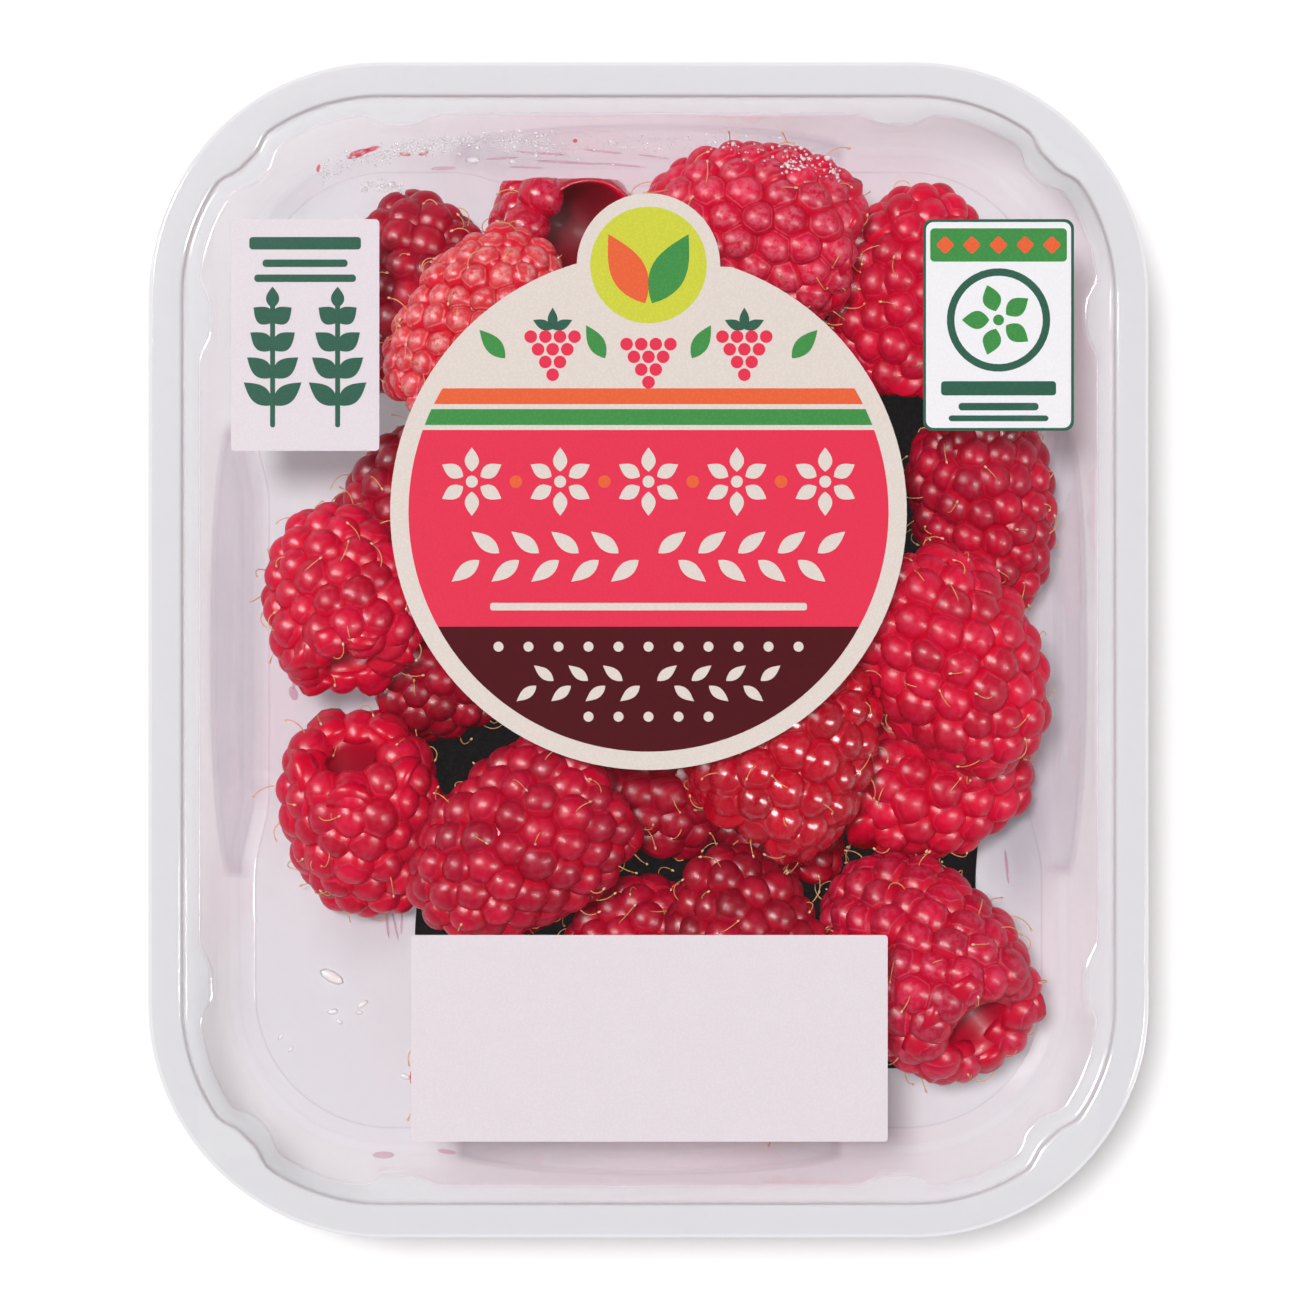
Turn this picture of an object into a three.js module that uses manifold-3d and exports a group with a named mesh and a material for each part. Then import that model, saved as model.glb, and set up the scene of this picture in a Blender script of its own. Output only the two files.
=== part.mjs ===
// A sealed punnet of raspberries: a clear thermoformed tray with a stepped flange, a printed clear film
// on the flange, a dark absorbent pad on the tray's floor and a loose heap of raspberries.
// Millimetres, +Z up. The origin is the centre of the tray's underside, +Y is the top of the print.
import * as THREE from 'three';
import { mergeVertices } from 'three/addons/utils/BufferGeometryUtils.js';
import Module from 'manifold-3d';

// Tray
const TRAY_WIDTH = 120;
const TRAY_LENGTH = 141;
const TRAY_HEIGHT = 40;
const CORNER_RADIUS = 28;
const SHEET = 0.5;
const FLANGE_WIDTH = 3.9;
const STEP_DEPTH = 1.4;
const STEP_SLOPE = 0.3;
const LEDGE_WIDTH = 1.3;
const WALL_DRAFT = 2.8;
const BASE_FILLET = 3.2;
const FLOOR_INSET = 3.0;
const FILLET_MIDDLE = 1 / 3;

// Nesting lugs: short blocks pressed inwards under the ledge
const LUG_REACH = 1.5;
const LUG_HEIGHT = 8;
const LUG_FOOT = 2;
const LUG_WIDTH = 8;
const LUG_RAMP = 1.3;
const LUG_FROM_MIDDLE_LONG_SIDE = 40;
const LUG_FROM_MIDDLE_SHORT_SIDE = 30;

// Arched panels pressed inwards at the foot of each wall
const ARCH_REACH = 1.7;
const ARCH_HEIGHT = 24;
const ARCH_HALF_LONG_SIDE = 28;
const ARCH_HALF_SHORT_SIDE = 24;
const ARCH_EDGE = 0.35;
const WALL_LEVELS = [21, 14, 7];
const STATION_PITCH = 9;
const NO_ARCH = 2;

// Film and print
const FILM = 0.2;
const FILM_INSET = 0.4;
const INK = 0.1;

// Straight pieces to a quarter or an arc: of the badge's outline, of the bands and of a panel's corner
const BADGE_STEPS = 9;
const BAND_STEPS = 5;
const CORNER_STEPS = 1;

// Absorbent pad
const PAD_WIDTH = 70;
const PAD_LENGTH = 98;
const PAD_THICKNESS = 1.2;
const PAD_OFFSET_X = 6;
const PAD_OFFSET_Y = -3;
const PAD_CORNER = 1.5;
const PAD_GAP = 0.5;

// Raspberries
const BUMP_WIDTH = 3;
const BUMP_LENGTH = 5;
const BUMP_HEIGHT = 1.5;
const FIRST_ROW = 0.1;
const LAST_ROW = 0.88;
const WIDEST_AT = 0.34;
const RIM_SHARE = 0.74;
const TIP_POWER = 2.3;
const HOLLOW_SHARE = 0.2;
const HOLLOW_DEPTH = 0.6;
const SHUT_DEPTH = 0.06;
const LIP_SHARE = 0.03;
const ZIGZAG = 1 / 6;
const LAST_CREASE = 0.985;
const CLEARANCE = 0.3;
const LINK_RADIUS = 2.6;
const LINK_SIDES = 5;
const MERGE_WITHIN = 1e-4;

// Settling: the share of its size to which pressed fruit gives way, and how far a raspberry falls
// and how strongly it is drawn back to its own place in each round
const SQUEEZE = 0.91;
const ROUNDS = 240;
const FALL = 0.2;
const HOME_PULL = 0.08;

// Each raspberry: x and y of its middle, the height that it falls from, the way its tip points seen
// from above and its tilt in degrees (tip up is positive), its length and width, and 1 if it shows its
// open end
const BERRIES = [
  [-26.5, 43, 12, 95, 5, 25, 20, 0],
  [-7, 52, 12, 150, -38, 22, 20, 1],
  [-29.5, 17.5, 12, 60, 0, 22, 18, 0],
  [16, -16, 12, 100, 0, 21, 17, 0],
  [-22, -3.5, 12, 20, 0, 22, 18, 0],
  [3.5, -22.5, 12, 80, 0, 23, 19, 0],
  [-15, -26, 12, 215, 0, 21, 17, 0],
  [29, -18, 12, 5, 0, 24, 19, 0],
  [-3, -37, 12, 70, 0, 24, 19, 0],
  [13.5, -35, 12, 110, 0, 25, 20, 0],
  [39.5, 14.5, 12, -80, 0, 25, 19, 0],
  [-8, 31, 12, 30, 0, 24, 20, 0],
  [13, 28, 12, 150, 0, 25, 20, 0],
  [-10, 12, 12, 120, 0, 24, 20, 0],
  [16, 6, 12, 100, 0, 24, 20, 0],
  [-12.5, -51, 12, 80, 0, 24, 19, 0],
  [9, -54.5, 12, 175, 0, 25, 19, 0],
  [-36, 8.5, 23, 100, 6, 23, 19.5, 0],
  [-32, -17.5, 14, -82, -32, 26, 21, 1],
  [33, 44.5, 16, 85, 8, 27, 21, 0],
  [-20.5, 40, 29, 62, 12, 26, 20, 0],
  [9, 51, 29, 170, 8, 27, 22, 0],
  [-16, -24, 31, 215, 4, 29, 22, 0],
  [38.5, -1, 29, -55, 6, 29, 23, 0],
  [33, -37, 27, 128, 10, 31, 24, 1],
  [16.5, -15.5, 34, 60, 4, 25, 22, 0],
  [2, 19, 29, 20, 0, 25, 20, 0],
];

const wasm = await Module();
wasm.setup();

const HALF_WIDTH = TRAY_WIDTH / 2;
const HALF_LENGTH = TRAY_LENGTH / 2;
const FLOOR_TOP = SHEET;
const WALL_INSET = FLANGE_WIDTH + STEP_SLOPE + LEDGE_WIDTH;
const LEDGE_Z = TRAY_HEIGHT - STEP_DEPTH;
const PAD_TOP = FLOOR_TOP + PAD_THICKNESS;
const CORNER_LENGTH = (CORNER_RADIUS * Math.PI) / 2;

// The four straight sides, right, top, left and bottom, counter-clockwise seen from above
const SIDES = [0, 1, 2, 3].map((turn) => ({
  angle: (turn * Math.PI) / 2,
  half: (turn % 2 ? HALF_WIDTH : HALF_LENGTH) - CORNER_RADIUS,
  out: (turn % 2 ? HALF_LENGTH : HALF_WIDTH) - CORNER_RADIUS,
  lug: turn % 2 ? LUG_FROM_MIDDLE_SHORT_SIDE : LUG_FROM_MIDDLE_LONG_SIDE,
  arch: turn % 2 ? ARCH_HALF_SHORT_SIDE : ARCH_HALF_LONG_SIDE,
}));

// The point of the outline at a distance along it, as the centre that it turns about and its normal
function stationAt(distance) {
  let left = distance;
  for (const side of SIDES) {
    const along = [-Math.sin(side.angle), Math.cos(side.angle)];
    const normal = [Math.cos(side.angle), Math.sin(side.angle)];
    const onSide = left <= 2 * side.half;
    const reach = onSide ? left - side.half : side.half;
    const x = normal[0] * side.out + along[0] * reach;
    const y = normal[1] * side.out + along[1] * reach;
    if (onSide) {
      return { distance, x, y, normal, archAcross: reach / side.arch };
    }
    left -= 2 * side.half;
    if (left < CORNER_LENGTH) {
      const angle = side.angle + left / CORNER_RADIUS;
      return { distance, x, y, normal: [Math.cos(angle), Math.sin(angle)], archAcross: NO_ARCH };
    }
    left -= CORNER_LENGTH;
  }
  return stationAt(0);
}

// Where along the outline the lugs have their middles: two on each side and one in each corner
function lugMiddles() {
  const middles = [];
  let start = 0;
  for (const side of SIDES) {
    middles.push(start + side.half - side.lug, start + side.half + side.lug);
    middles.push(start + 2 * side.half + CORNER_LENGTH / 2);
    start += 2 * side.half + CORNER_LENGTH;
  }
  return { middles, total: start };
}

// Stations round the outline: the edges of each lug, and evenly spaced ones between
function stationsRound() {
  const { middles, total } = lugMiddles();
  const edges = middles.flatMap((middle) => [
    middle - LUG_WIDTH / 2,
    middle - LUG_WIDTH / 2 + LUG_RAMP,
    middle + LUG_WIDTH / 2 - LUG_RAMP,
    middle + LUG_WIDTH / 2,
  ]);
  const distances = edges.map((edge) => (edge + total) % total).sort((a, b) => a - b);
  const filled = [];
  distances.forEach((from, index) => {
    const next = index + 1 < distances.length ? distances[index + 1] : distances[0] + total;
    const gap = next - from;
    const parts = gap > LUG_WIDTH ? Math.ceil(gap / STATION_PITCH) : 1;
    for (let part = 0; part < parts; part++) {
      filled.push((from + (gap * part) / parts) % total);
    }
  });
  return filled.map((distance) => {
    const lug = Math.max(...middles.map((middle) => lugAt(distance, middle, total)));
    return { ...stationAt(distance), lug };
  });
}

function lugAt(distance, middle, total) {
  const gap = Math.abs(((distance - middle + 1.5 * total) % total) - total / 2);
  return THREE.MathUtils.clamp((LUG_WIDTH / 2 - gap) / LUG_RAMP, 0, 1);
}

// How far the wall is pressed in at a station and height by its arched panel, from 0 to 1
function archAt(station, z) {
  const round = Math.hypot(station.archAcross, z / ARCH_HEIGHT);
  return THREE.MathUtils.smoothstep(1 - round, 0, ARCH_EDGE);
}

function wallInset(z) {
  return WALL_INSET + (WALL_DRAFT * (LEDGE_Z - z)) / LEDGE_Z;
}

// The inside of the tray's section, from the rim inwards and down to the floor
function traySection() {
  const base = wallInset(BASE_FILLET);
  const lugFoot = LEDGE_Z - LUG_HEIGHT;
  return [
    { inset: 0, z: TRAY_HEIGHT },
    { inset: FLANGE_WIDTH, z: TRAY_HEIGHT },
    { inset: FLANGE_WIDTH + STEP_SLOPE, z: LEDGE_Z },
    { inset: WALL_INSET, z: LEDGE_Z, lug: 1 },
    { inset: wallInset(lugFoot), z: lugFoot, lug: 1 },
    { inset: wallInset(lugFoot - LUG_FOOT), z: lugFoot - LUG_FOOT },
    ...WALL_LEVELS.map((z) => ({ inset: wallInset(z), z })),
    { inset: base, z: BASE_FILLET },
    { inset: base + FLOOR_INSET * FILLET_MIDDLE, z: BASE_FILLET * FILLET_MIDDLE + FLOOR_TOP / 2 },
    { inset: base + FLOOR_INSET, z: FLOOR_TOP },
  ];
}

// The same section moved outwards and down by the thickness of the sheet
function movedOut(section, distance) {
  const normals = section.slice(1).map((row, index) => {
    const inset = row.inset - section[index].inset;
    const z = row.z - section[index].z;
    const size = Math.hypot(inset, z);
    return [z / size, -inset / size];
  });
  return section.map((row, index) => {
    const before = normals[Math.max(index - 1, 0)];
    const after = normals[Math.min(index, normals.length - 1)];
    const miter = 1 + before[0] * after[0] + before[1] * after[1];
    const across = (distance * (before[0] + after[0])) / miter;
    const down = (distance * (before[1] + after[1])) / miter;
    return { ...row, inset: Math.max(row.inset + across, 0), z: Math.max(row.z + down, 0) };
  });
}

// A closed skin through rings of points, with its first and last rings closed by fans
function skinOf(rings, first, last) {
  const count = rings[0].length;
  const points = [first, ...rings.flat(), last];
  const index = [];
  const at = (ring, step) => 1 + ring * count + (step % count);
  for (let step = 0; step < count; step++) {
    index.push(0, at(0, step), at(0, step + 1));
    for (let ring = 0; ring + 1 < rings.length; ring++) {
      index.push(at(ring, step), at(ring + 1, step), at(ring + 1, step + 1));
      index.push(at(ring, step), at(ring + 1, step + 1), at(ring, step + 1));
    }
    index.push(points.length - 1, at(rings.length - 1, step + 1), at(rings.length - 1, step));
  }
  const geometry = new THREE.BufferGeometry();
  geometry.setAttribute('position', new THREE.Float32BufferAttribute(points.flat(), 3));
  geometry.setIndex(index);
  return geometry;
}

function trayRing(row, stations, inwards = 0) {
  return stations.map((station) => {
    const lug = (row.lug ?? 0) * station.lug * LUG_REACH;
    const inset = row.inset + lug + archAt(station, row.z) * ARCH_REACH + inwards;
    const radius = CORNER_RADIUS - inset;
    return [station.x + station.normal[0] * radius, station.y + station.normal[1] * radius, row.z];
  });
}

function trayGeometry() {
  const stations = stationsRound();
  const inside = traySection();
  const outside = movedOut(inside, SHEET);
  const rings = [
    ...inside.toReversed().map((row) => trayRing(row, stations)),
    ...outside.map((row) => trayRing(row, stations)),
  ];
  return skinOf(rings, [0, 0, FLOOR_TOP], [0, 0, 0]);
}

// The space in the shut pack, clear of the tray's inside and of the film
function insideGeometry() {
  const stations = stationsRound();
  const rows = traySection().slice(3).toReversed();
  rows[0] = { ...rows[0], z: rows[0].z + CLEARANCE };
  const rings = rows.map((row) => trayRing(row, stations, CLEARANCE));
  rings.push(trayRing({ inset: WALL_INSET + LUG_REACH, z: TRAY_HEIGHT - CLEARANCE }, stations));
  const outwards = rings.map((ring) => ring.toReversed());
  return skinOf(outwards, [0, 0, FLOOR_TOP + CLEARANCE], [0, 0, TRAY_HEIGHT - CLEARANCE]);
}

// A flat plate of a shape, standing on a height, with so many straight pieces to each of its curves
function plate(shape, z, thickness, curveSegments) {
  const settings = { depth: thickness, bevelEnabled: false, curveSegments };
  return new THREE.ExtrudeGeometry(shape, settings).translate(0, 0, z);
}

function roundedRectangle(x, y, width, height, radius) {
  const right = x + width / 2;
  const top = y + height / 2;
  const left = x - width / 2;
  const bottom = y - height / 2;
  const shape = new THREE.Shape();
  shape.absarc(right - radius, bottom + radius, radius, -Math.PI / 2, 0);
  shape.absarc(right - radius, top - radius, radius, 0, Math.PI / 2);
  shape.absarc(left + radius, top - radius, radius, Math.PI / 2, Math.PI);
  shape.absarc(left + radius, bottom + radius, radius, Math.PI, 1.5 * Math.PI);
  shape.closePath();
  return shape;
}

function filmGeometry() {
  const width = TRAY_WIDTH - 2 * FILM_INSET;
  const length = TRAY_LENGTH - 2 * FILM_INSET;
  const outline = roundedRectangle(0, 0, width, length, CORNER_RADIUS - FILM_INSET);
  return plate(outline, TRAY_HEIGHT, FILM, BAND_STEPS);
}

// The pad's edge from its top down: how far in it lies, and its height as a share of the thickness
const PAD_EDGE = [
  [0.9, 1],
  [0.3, 0.85],
  [0, 0.5],
  [0, 0],
];

// The pad, a little rounded along its upper edge
function padGeometry() {
  const foot = roundedRectangle(0, 0, PAD_WIDTH, PAD_LENGTH, PAD_CORNER).getPoints(1);
  const ring = ([inset, share]) =>
    foot.map((point) => [
      PAD_OFFSET_X + point.x * (1 - (inset * 2) / PAD_WIDTH),
      PAD_OFFSET_Y + point.y * (1 - (inset * 2) / PAD_LENGTH),
      FLOOR_TOP + share * PAD_THICKNESS,
    ]);
  const corners = foot.filter((point, index) => index === 0 || point.distanceTo(foot[index - 1]) > 0);
  const tidy = (points) => points.filter((point, index) => corners.includes(foot[index]));
  const rings = PAD_EDGE.map(ring).map(tidy);
  const middle = [PAD_OFFSET_X, PAD_OFFSET_Y];
  return skinOf(rings, [...middle, PAD_TOP], [...middle, FLOOR_TOP]);
}

// Radius of a raspberry at a share of its length, from its open end to its tip, beside half its width
function fullness(share) {
  if (share < WIDEST_AT) {
    return 1 - (1 - RIM_SHARE) * ((WIDEST_AT - share) / WIDEST_AT) ** 2;
  }
  const tipwards = (share - WIDEST_AT) / (1 - WIDEST_AT);
  return Math.sqrt(Math.max(1 - tipwards ** TIP_POWER, 0));
}

// One raspberry along +X, its tip at +X, with rows of low six-sided pyramids for its drupelets
function berryGeometry(length, width, open) {
  const columns = Math.round(width / BUMP_WIDTH);
  const rows = Math.round(length / BUMP_LENGTH);
  const place = (share, column, lift) => {
    const angle = (column / columns) * 2 * Math.PI;
    const radius = Math.max((fullness(share) * width) / 2 - lift, 0);
    return [(share - 0.5) * length, radius * Math.cos(angle), radius * Math.sin(angle)];
  };
  const points = [];
  const index = [];
  const add = (point) => points.push(point) - 1;
  const rowShare = (row) => FIRST_ROW + (row / (rows - 1)) * (LAST_ROW - FIRST_ROW);
  const step = rowShare(1) - rowShare(0);
  // Between two rows of drupelets runs a zigzag of creases
  const creases = [];
  for (let row = 0; row <= rows; row++) {
    const middle = rowShare(row) - step / 2;
    creases.push(
      Array.from({ length: 2 * columns }, (_, half) => {
        const towardsTip = (half + row) % 2 ? 1 : -1;
        const share = THREE.MathUtils.clamp(middle + towardsTip * step * ZIGZAG, 0, LAST_CREASE);
        return add(place(share, half / 2, BUMP_HEIGHT));
      }),
    );
  }
  const around = 2 * columns;
  for (let row = 0; row < rows; row++) {
    for (let column = 0; column < columns; column++) {
      const half = 2 * column + (row % 2 ? 0 : 1);
      const top = add(place(rowShare(row), half / 2, 0));
      const ring = [
        ...[-1, 0, 1].map((side) => creases[row][(half + side + around) % around]),
        ...[1, 0, -1].map((side) => creases[row + 1][(half + side + around) % around]),
      ];
      ring.forEach((from, side) => index.push(top, from, ring[(side + 1) % ring.length]));
    }
  }
  const closeEnd = (ring, tip, tipwards) => {
    for (let side = 0; side < around; side++) {
      const pair = [ring[side], ring[(side + 1) % around]];
      index.push(tip, ...(tipwards ? pair : pair.toReversed()));
    }
  };
  closeEnd(creases[rows], add([length / 2, 0, 0]), true);
  const wayIn = open ? HOLLOW_DEPTH : SHUT_DEPTH;
  if (open) {
    const lip = Array.from({ length: around }, (_, half) => {
      const angle = (half / around) * 2 * Math.PI;
      const radius = HOLLOW_SHARE * width;
      return add([(LIP_SHARE - 0.5) * length, radius * Math.cos(angle), radius * Math.sin(angle)]);
    });
    creases[0].forEach((from, side) => {
      const next = (side + 1) % around;
      index.push(from, lip[side], lip[next], from, lip[next], creases[0][next]);
    });
    creases[0] = lip;
  }
  closeEnd(creases[0], add([(wayIn - 0.5) * length, 0, 0]), false);
  const geometry = new THREE.BufferGeometry();
  geometry.setAttribute('position', new THREE.Float32BufferAttribute(points.flat(), 3));
  geometry.setIndex(index);
  return geometry;
}

// Balls that fill a raspberry, for working out how low it lies
const BALLS = [
  [0.28, 0.93],
  [0.5, 0.95],
  [0.72, 0.79],
  [0.86, 0.52],
];

function direction(yaw, tilt) {
  const [turn, rise] = [yaw, tilt].map(THREE.MathUtils.degToRad);
  return [Math.cos(rise) * Math.cos(turn), Math.cos(rise) * Math.sin(turn), Math.sin(rise)];
}

function ballsOf([, , , yaw, tilt, length, width]) {
  const way = direction(yaw, tilt);
  return BALLS.map(([share, fill]) => ({
    off: way.map((part) => part * (share - 0.5) * length),
    r: (fill * width) / 2,
  }));
}

function moved(place, step, share) {
  step.forEach((part, axis) => {
    place[axis] += part * share;
  });
}

// The step that brings a ball back inside the tray's walls and between its floor and the film
function keptInside(at, r) {
  const overPad =
    Math.abs(at[0] - PAD_OFFSET_X) < PAD_WIDTH / 2 + r / 2 &&
    Math.abs(at[1] - PAD_OFFSET_Y) < PAD_LENGTH / 2 + r / 2;
  const lowest = (overPad ? PAD_TOP : FLOOR_TOP) + CLEARANCE + r;
  const highest = TRAY_HEIGHT - CLEARANCE - r;
  const across = Math.max(Math.abs(at[0]) - HALF_WIDTH + CORNER_RADIUS, 0) * Math.sign(at[0]);
  const along = Math.max(Math.abs(at[1]) - HALF_LENGTH + CORNER_RADIUS, 0) * Math.sign(at[1]);
  const reach = Math.hypot(across, along);
  const most = CORNER_RADIUS - wallInset(at[2] - r) - r - CLEARANCE;
  const back = reach > most ? (most - reach) / reach : 0;
  return [across * back, along * back, Math.min(Math.max(at[2], lowest), highest) - at[2]];
}

// Two raspberries that meet push each other apart by half of what they share
function pushApart(one, other) {
  for (const a of one.balls) {
    for (const b of other.balls) {
      const apart = a.off.map((part, axis) => one.at[axis] + part - other.at[axis] - b.off[axis]);
      const size = Math.hypot(...apart);
      const shared = (a.r + b.r) * SQUEEZE - size;
      if (shared > 0) {
        moved(one.at, apart, shared / size / 2);
        moved(other.at, apart, -shared / size / 2);
      }
    }
  }
}

// Where each raspberry comes to lie: they fall and push each other apart, each kept near its own place
function settled() {
  const lying = BERRIES.map((berry) => ({
    home: [berry[0], berry[1]],
    at: berry.slice(0, 3),
    balls: ballsOf(berry),
  }));
  for (let round = 0; round < ROUNDS; round++) {
    for (const one of lying) {
      const back = one.home.map((part, axis) => (part - one.at[axis]) * HOME_PULL);
      moved(one.at, [...back, -FALL], 1);
    }
    lying.forEach((one, which) => lying.slice(0, which).forEach((other) => pushApart(one, other)));
    for (const one of lying) {
      for (const ball of one.balls) {
        const at = ball.off.map((part, axis) => part + one.at[axis]);
        moved(one.at, keptInside(at, ball.r), 1);
      }
    }
  }
  return lying.map((one) => new THREE.Vector3(...one.at));
}

function solidOf(geometry) {
  const bare = new THREE.BufferGeometry();
  bare.setAttribute('position', geometry.getAttribute('position'));
  bare.setIndex(geometry.index);
  const merged = mergeVertices(bare, MERGE_WITHIN);
  const vertProperties = merged.getAttribute('position').array;
  const triVerts = new Uint32Array(merged.index.array);
  return new wasm.Manifold(new wasm.Mesh({ numProp: 3, vertProperties, triVerts }));
}

function geometryOf(solid) {
  const mesh = solid.getMesh();
  const geometry = new THREE.BufferGeometry();
  geometry.setAttribute('position', new THREE.Float32BufferAttribute(mesh.vertProperties, 3));
  geometry.setIndex([...mesh.triVerts]);
  return geometry;
}

function berrySolid([, , , yaw, tilt, length, width, open], middle) {
  const turned = new THREE.Euler(0, -THREE.MathUtils.degToRad(tilt), THREE.MathUtils.degToRad(yaw), 'ZYX');
  const place = new THREE.Matrix4().makeRotationFromEuler(turned).setPosition(middle);
  return solidOf(berryGeometry(length, width, open).applyMatrix4(place));
}

// A short bar inside the fruit from one raspberry's middle to another's
function linkSolid(from, to) {
  const apart = to.clone().sub(from);
  const bar = new THREE.CylinderGeometry(LINK_RADIUS, LINK_RADIUS, apart.length(), LINK_SIDES);
  const turn = new THREE.Quaternion().setFromUnitVectors(new THREE.Vector3(0, 1, 0), apart.normalize());
  const middle = from.clone().add(to).multiplyScalar(0.5);
  bar.applyMatrix4(new THREE.Matrix4().makeRotationFromQuaternion(turn).setPosition(middle));
  return solidOf(bar);
}

// The shortest links that join all the raspberries into one body
function shortestLinks(middles) {
  const joined = [0];
  const links = [];
  while (joined.length < middles.length) {
    const ways = joined.flatMap((from) =>
      middles.map((to, which) => ({ from, which, apart: middles[from].distanceTo(to) })),
    );
    const open = ways.filter((way) => !joined.includes(way.which));
    const best = open.reduce((least, way) => (way.apart < least.apart ? way : least));
    links.push([middles[best.from], middles[best.which]]);
    joined.push(best.which);
  }
  return links;
}

// All the raspberries pressed together, flat where they meet the pad, the tray or the film
function heapGeometry() {
  const middles = settled();
  const fruit = BERRIES.map((berry, which) => berrySolid(berry, middles[which]));
  const core = shortestLinks(middles).map(([from, to]) => linkSolid(from, to));
  const heap = [...fruit, ...core].reduce((all, one) => all.add(one));
  const width = PAD_WIDTH + 2 * PAD_GAP;
  const length = PAD_LENGTH + 2 * PAD_GAP;
  const outline = roundedRectangle(PAD_OFFSET_X, PAD_OFFSET_Y, width, length, PAD_CORNER);
  const padSpace = plate(outline, 0, PAD_TOP + CLEARANCE, CORNER_STEPS);
  const clear = heap.intersect(solidOf(insideGeometry())).subtract(solidOf(padSpace));
  return geometryOf(outerShell(clear));
}

// The outermost shell alone, which fills every hollow that the pressed fruit shuts in
function outerShell(solid) {
  return solid.decompose().reduce((best, shell) => (shell.volume() > best.volume() ? shell : best));
}

// The print: a round badge with a small tab, two small panels and a bare panel for dates
const BADGE = { x: 0, y: 16.6, radius: 31, border: 2.2 };
const TAB = { radius: 8.6, above: 29.6, border: 1.6 };
const RED_FIELD_TOP = 9.8;
const DARK_ZONE_TOP = -13.8;
const BAND = 1.9;
const BAND_GAP = 0.6;
const BAR = { width: 38, height: 0.9, y: -11.4 };
const LEFT_PANEL = { x: -41.2, y: 37.8, width: 17.8, height: 27.8, corner: 0.5 };
const RIGHT_PANEL = { x: 42, y: 39, width: 18.1, height: 25.4, corner: 1.1, border: 0.35 };
const DATE_PANEL = { x: 0.1, y: -46.6, width: 57.2, height: 24.8, corner: 0.4 };

const CREAM = 0xe8ded6;
const LILAC_WHITE = 0xe6dee4;
const PRINT_ROUGHNESS = 0.5;

const PRINT_Z = TRAY_HEIGHT + FILM;
const FIELD_Z = PRINT_Z + INK;

// The badge's outline: a large circle with a smaller one standing on it
function badgeShape() {
  const across = (BADGE.radius ** 2 + TAB.above ** 2 - TAB.radius ** 2) / (2 * TAB.above);
  const half = Math.acos(across / BADGE.radius);
  const tabHalf = Math.asin((BADGE.radius * Math.sin(half)) / TAB.radius);
  const up = Math.PI / 2;
  const shape = new THREE.Shape();
  shape.absarc(BADGE.x, BADGE.y, BADGE.radius, up + half, up - half + 2 * Math.PI);
  shape.absarc(BADGE.x, BADGE.y + TAB.above, TAB.radius, up - Math.PI + tabHalf, up + Math.PI - tabHalf);
  shape.closePath();
  return shape;
}

// The part of the badge's inner circle between two heights
function bandShape(low, high) {
  const radius = BADGE.radius - BADGE.border;
  const lowest = Math.asin(Math.max(low / radius, -1));
  const highest = Math.asin(Math.min(high / radius, 1));
  const shape = new THREE.Shape();
  shape.absarc(BADGE.x, BADGE.y, radius, lowest, highest);
  shape.absarc(BADGE.x, BADGE.y, radius, Math.PI - highest, Math.PI - lowest);
  shape.closePath();
  return shape;
}

function bandPlate(low, high) {
  return plate(bandShape(low, high), FIELD_Z, INK, BAND_STEPS);
}

function panelPlate(panel, z, border = 0) {
  const width = panel.width - 2 * border;
  const height = panel.height - 2 * border;
  const outline = roundedRectangle(panel.x, panel.y, width, height, panel.corner - border / 2);
  return plate(outline, z, INK, CORNER_STEPS);
}

function tabDot() {
  const shape = new THREE.Shape();
  shape.absarc(BADGE.x, BADGE.y + TAB.above, TAB.radius - TAB.border, 0, 2 * Math.PI);
  return shape;
}

function barShape() {
  return roundedRectangle(BADGE.x, BADGE.y + BAR.y, BAR.width, BAR.height, BAR.height / 3);
}

const group = new THREE.Group();

function addPart(name, geometry, color, roughness, opacity = 1) {
  const material = new THREE.MeshStandardMaterial({
    color,
    roughness,
    metalness: 0,
    opacity,
    transparent: opacity < 1,
  });
  const mesh = new THREE.Mesh(geometry, material);
  mesh.name = name;
  group.add(mesh);
}

function addPrint(name, geometry, color) {
  addPart(name, geometry, color, PRINT_ROUGHNESS);
}

addPart('tray', trayGeometry(), 0xe4e2e8, 0.15, 0.35);
addPart('pad', padGeometry(), 0x1b1618, 0.8);
addPart('raspberries', heapGeometry(), 0xc81438, 0.4);
addPart('film', filmGeometry(), 0xf0eff4, 0.1, 0.25);
addPrint('badge_border', plate(badgeShape(), PRINT_Z, INK, BADGE_STEPS), CREAM);
addPrint('badge_red_field', bandPlate(DARK_ZONE_TOP, RED_FIELD_TOP), 0xee1e48);
addPrint('badge_dark_zone', bandPlate(-Infinity, DARK_ZONE_TOP), 0x5a1524);
const greenLow = RED_FIELD_TOP + BAND_GAP;
const orangeLow = greenLow + BAND + BAND_GAP;
addPrint('badge_green_band', bandPlate(greenLow, greenLow + BAND), 0x3c963c);
addPrint('badge_orange_band', bandPlate(orangeLow, orangeLow + BAND), 0xf06428);
addPrint('badge_bar', plate(barShape(), FIELD_Z + INK, INK, CORNER_STEPS), CREAM);
addPrint('badge_tab_dot', plate(tabDot(), FIELD_Z, INK, BAND_STEPS), 0xd7d728);
addPrint('left_panel', panelPlate(LEFT_PANEL, PRINT_Z), LILAC_WHITE);
addPrint('right_panel', panelPlate(RIGHT_PANEL, PRINT_Z), 0x195f46);
addPrint('right_panel_field', panelPlate(RIGHT_PANEL, FIELD_Z, RIGHT_PANEL.border), 0xf2f0f2);
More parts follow.
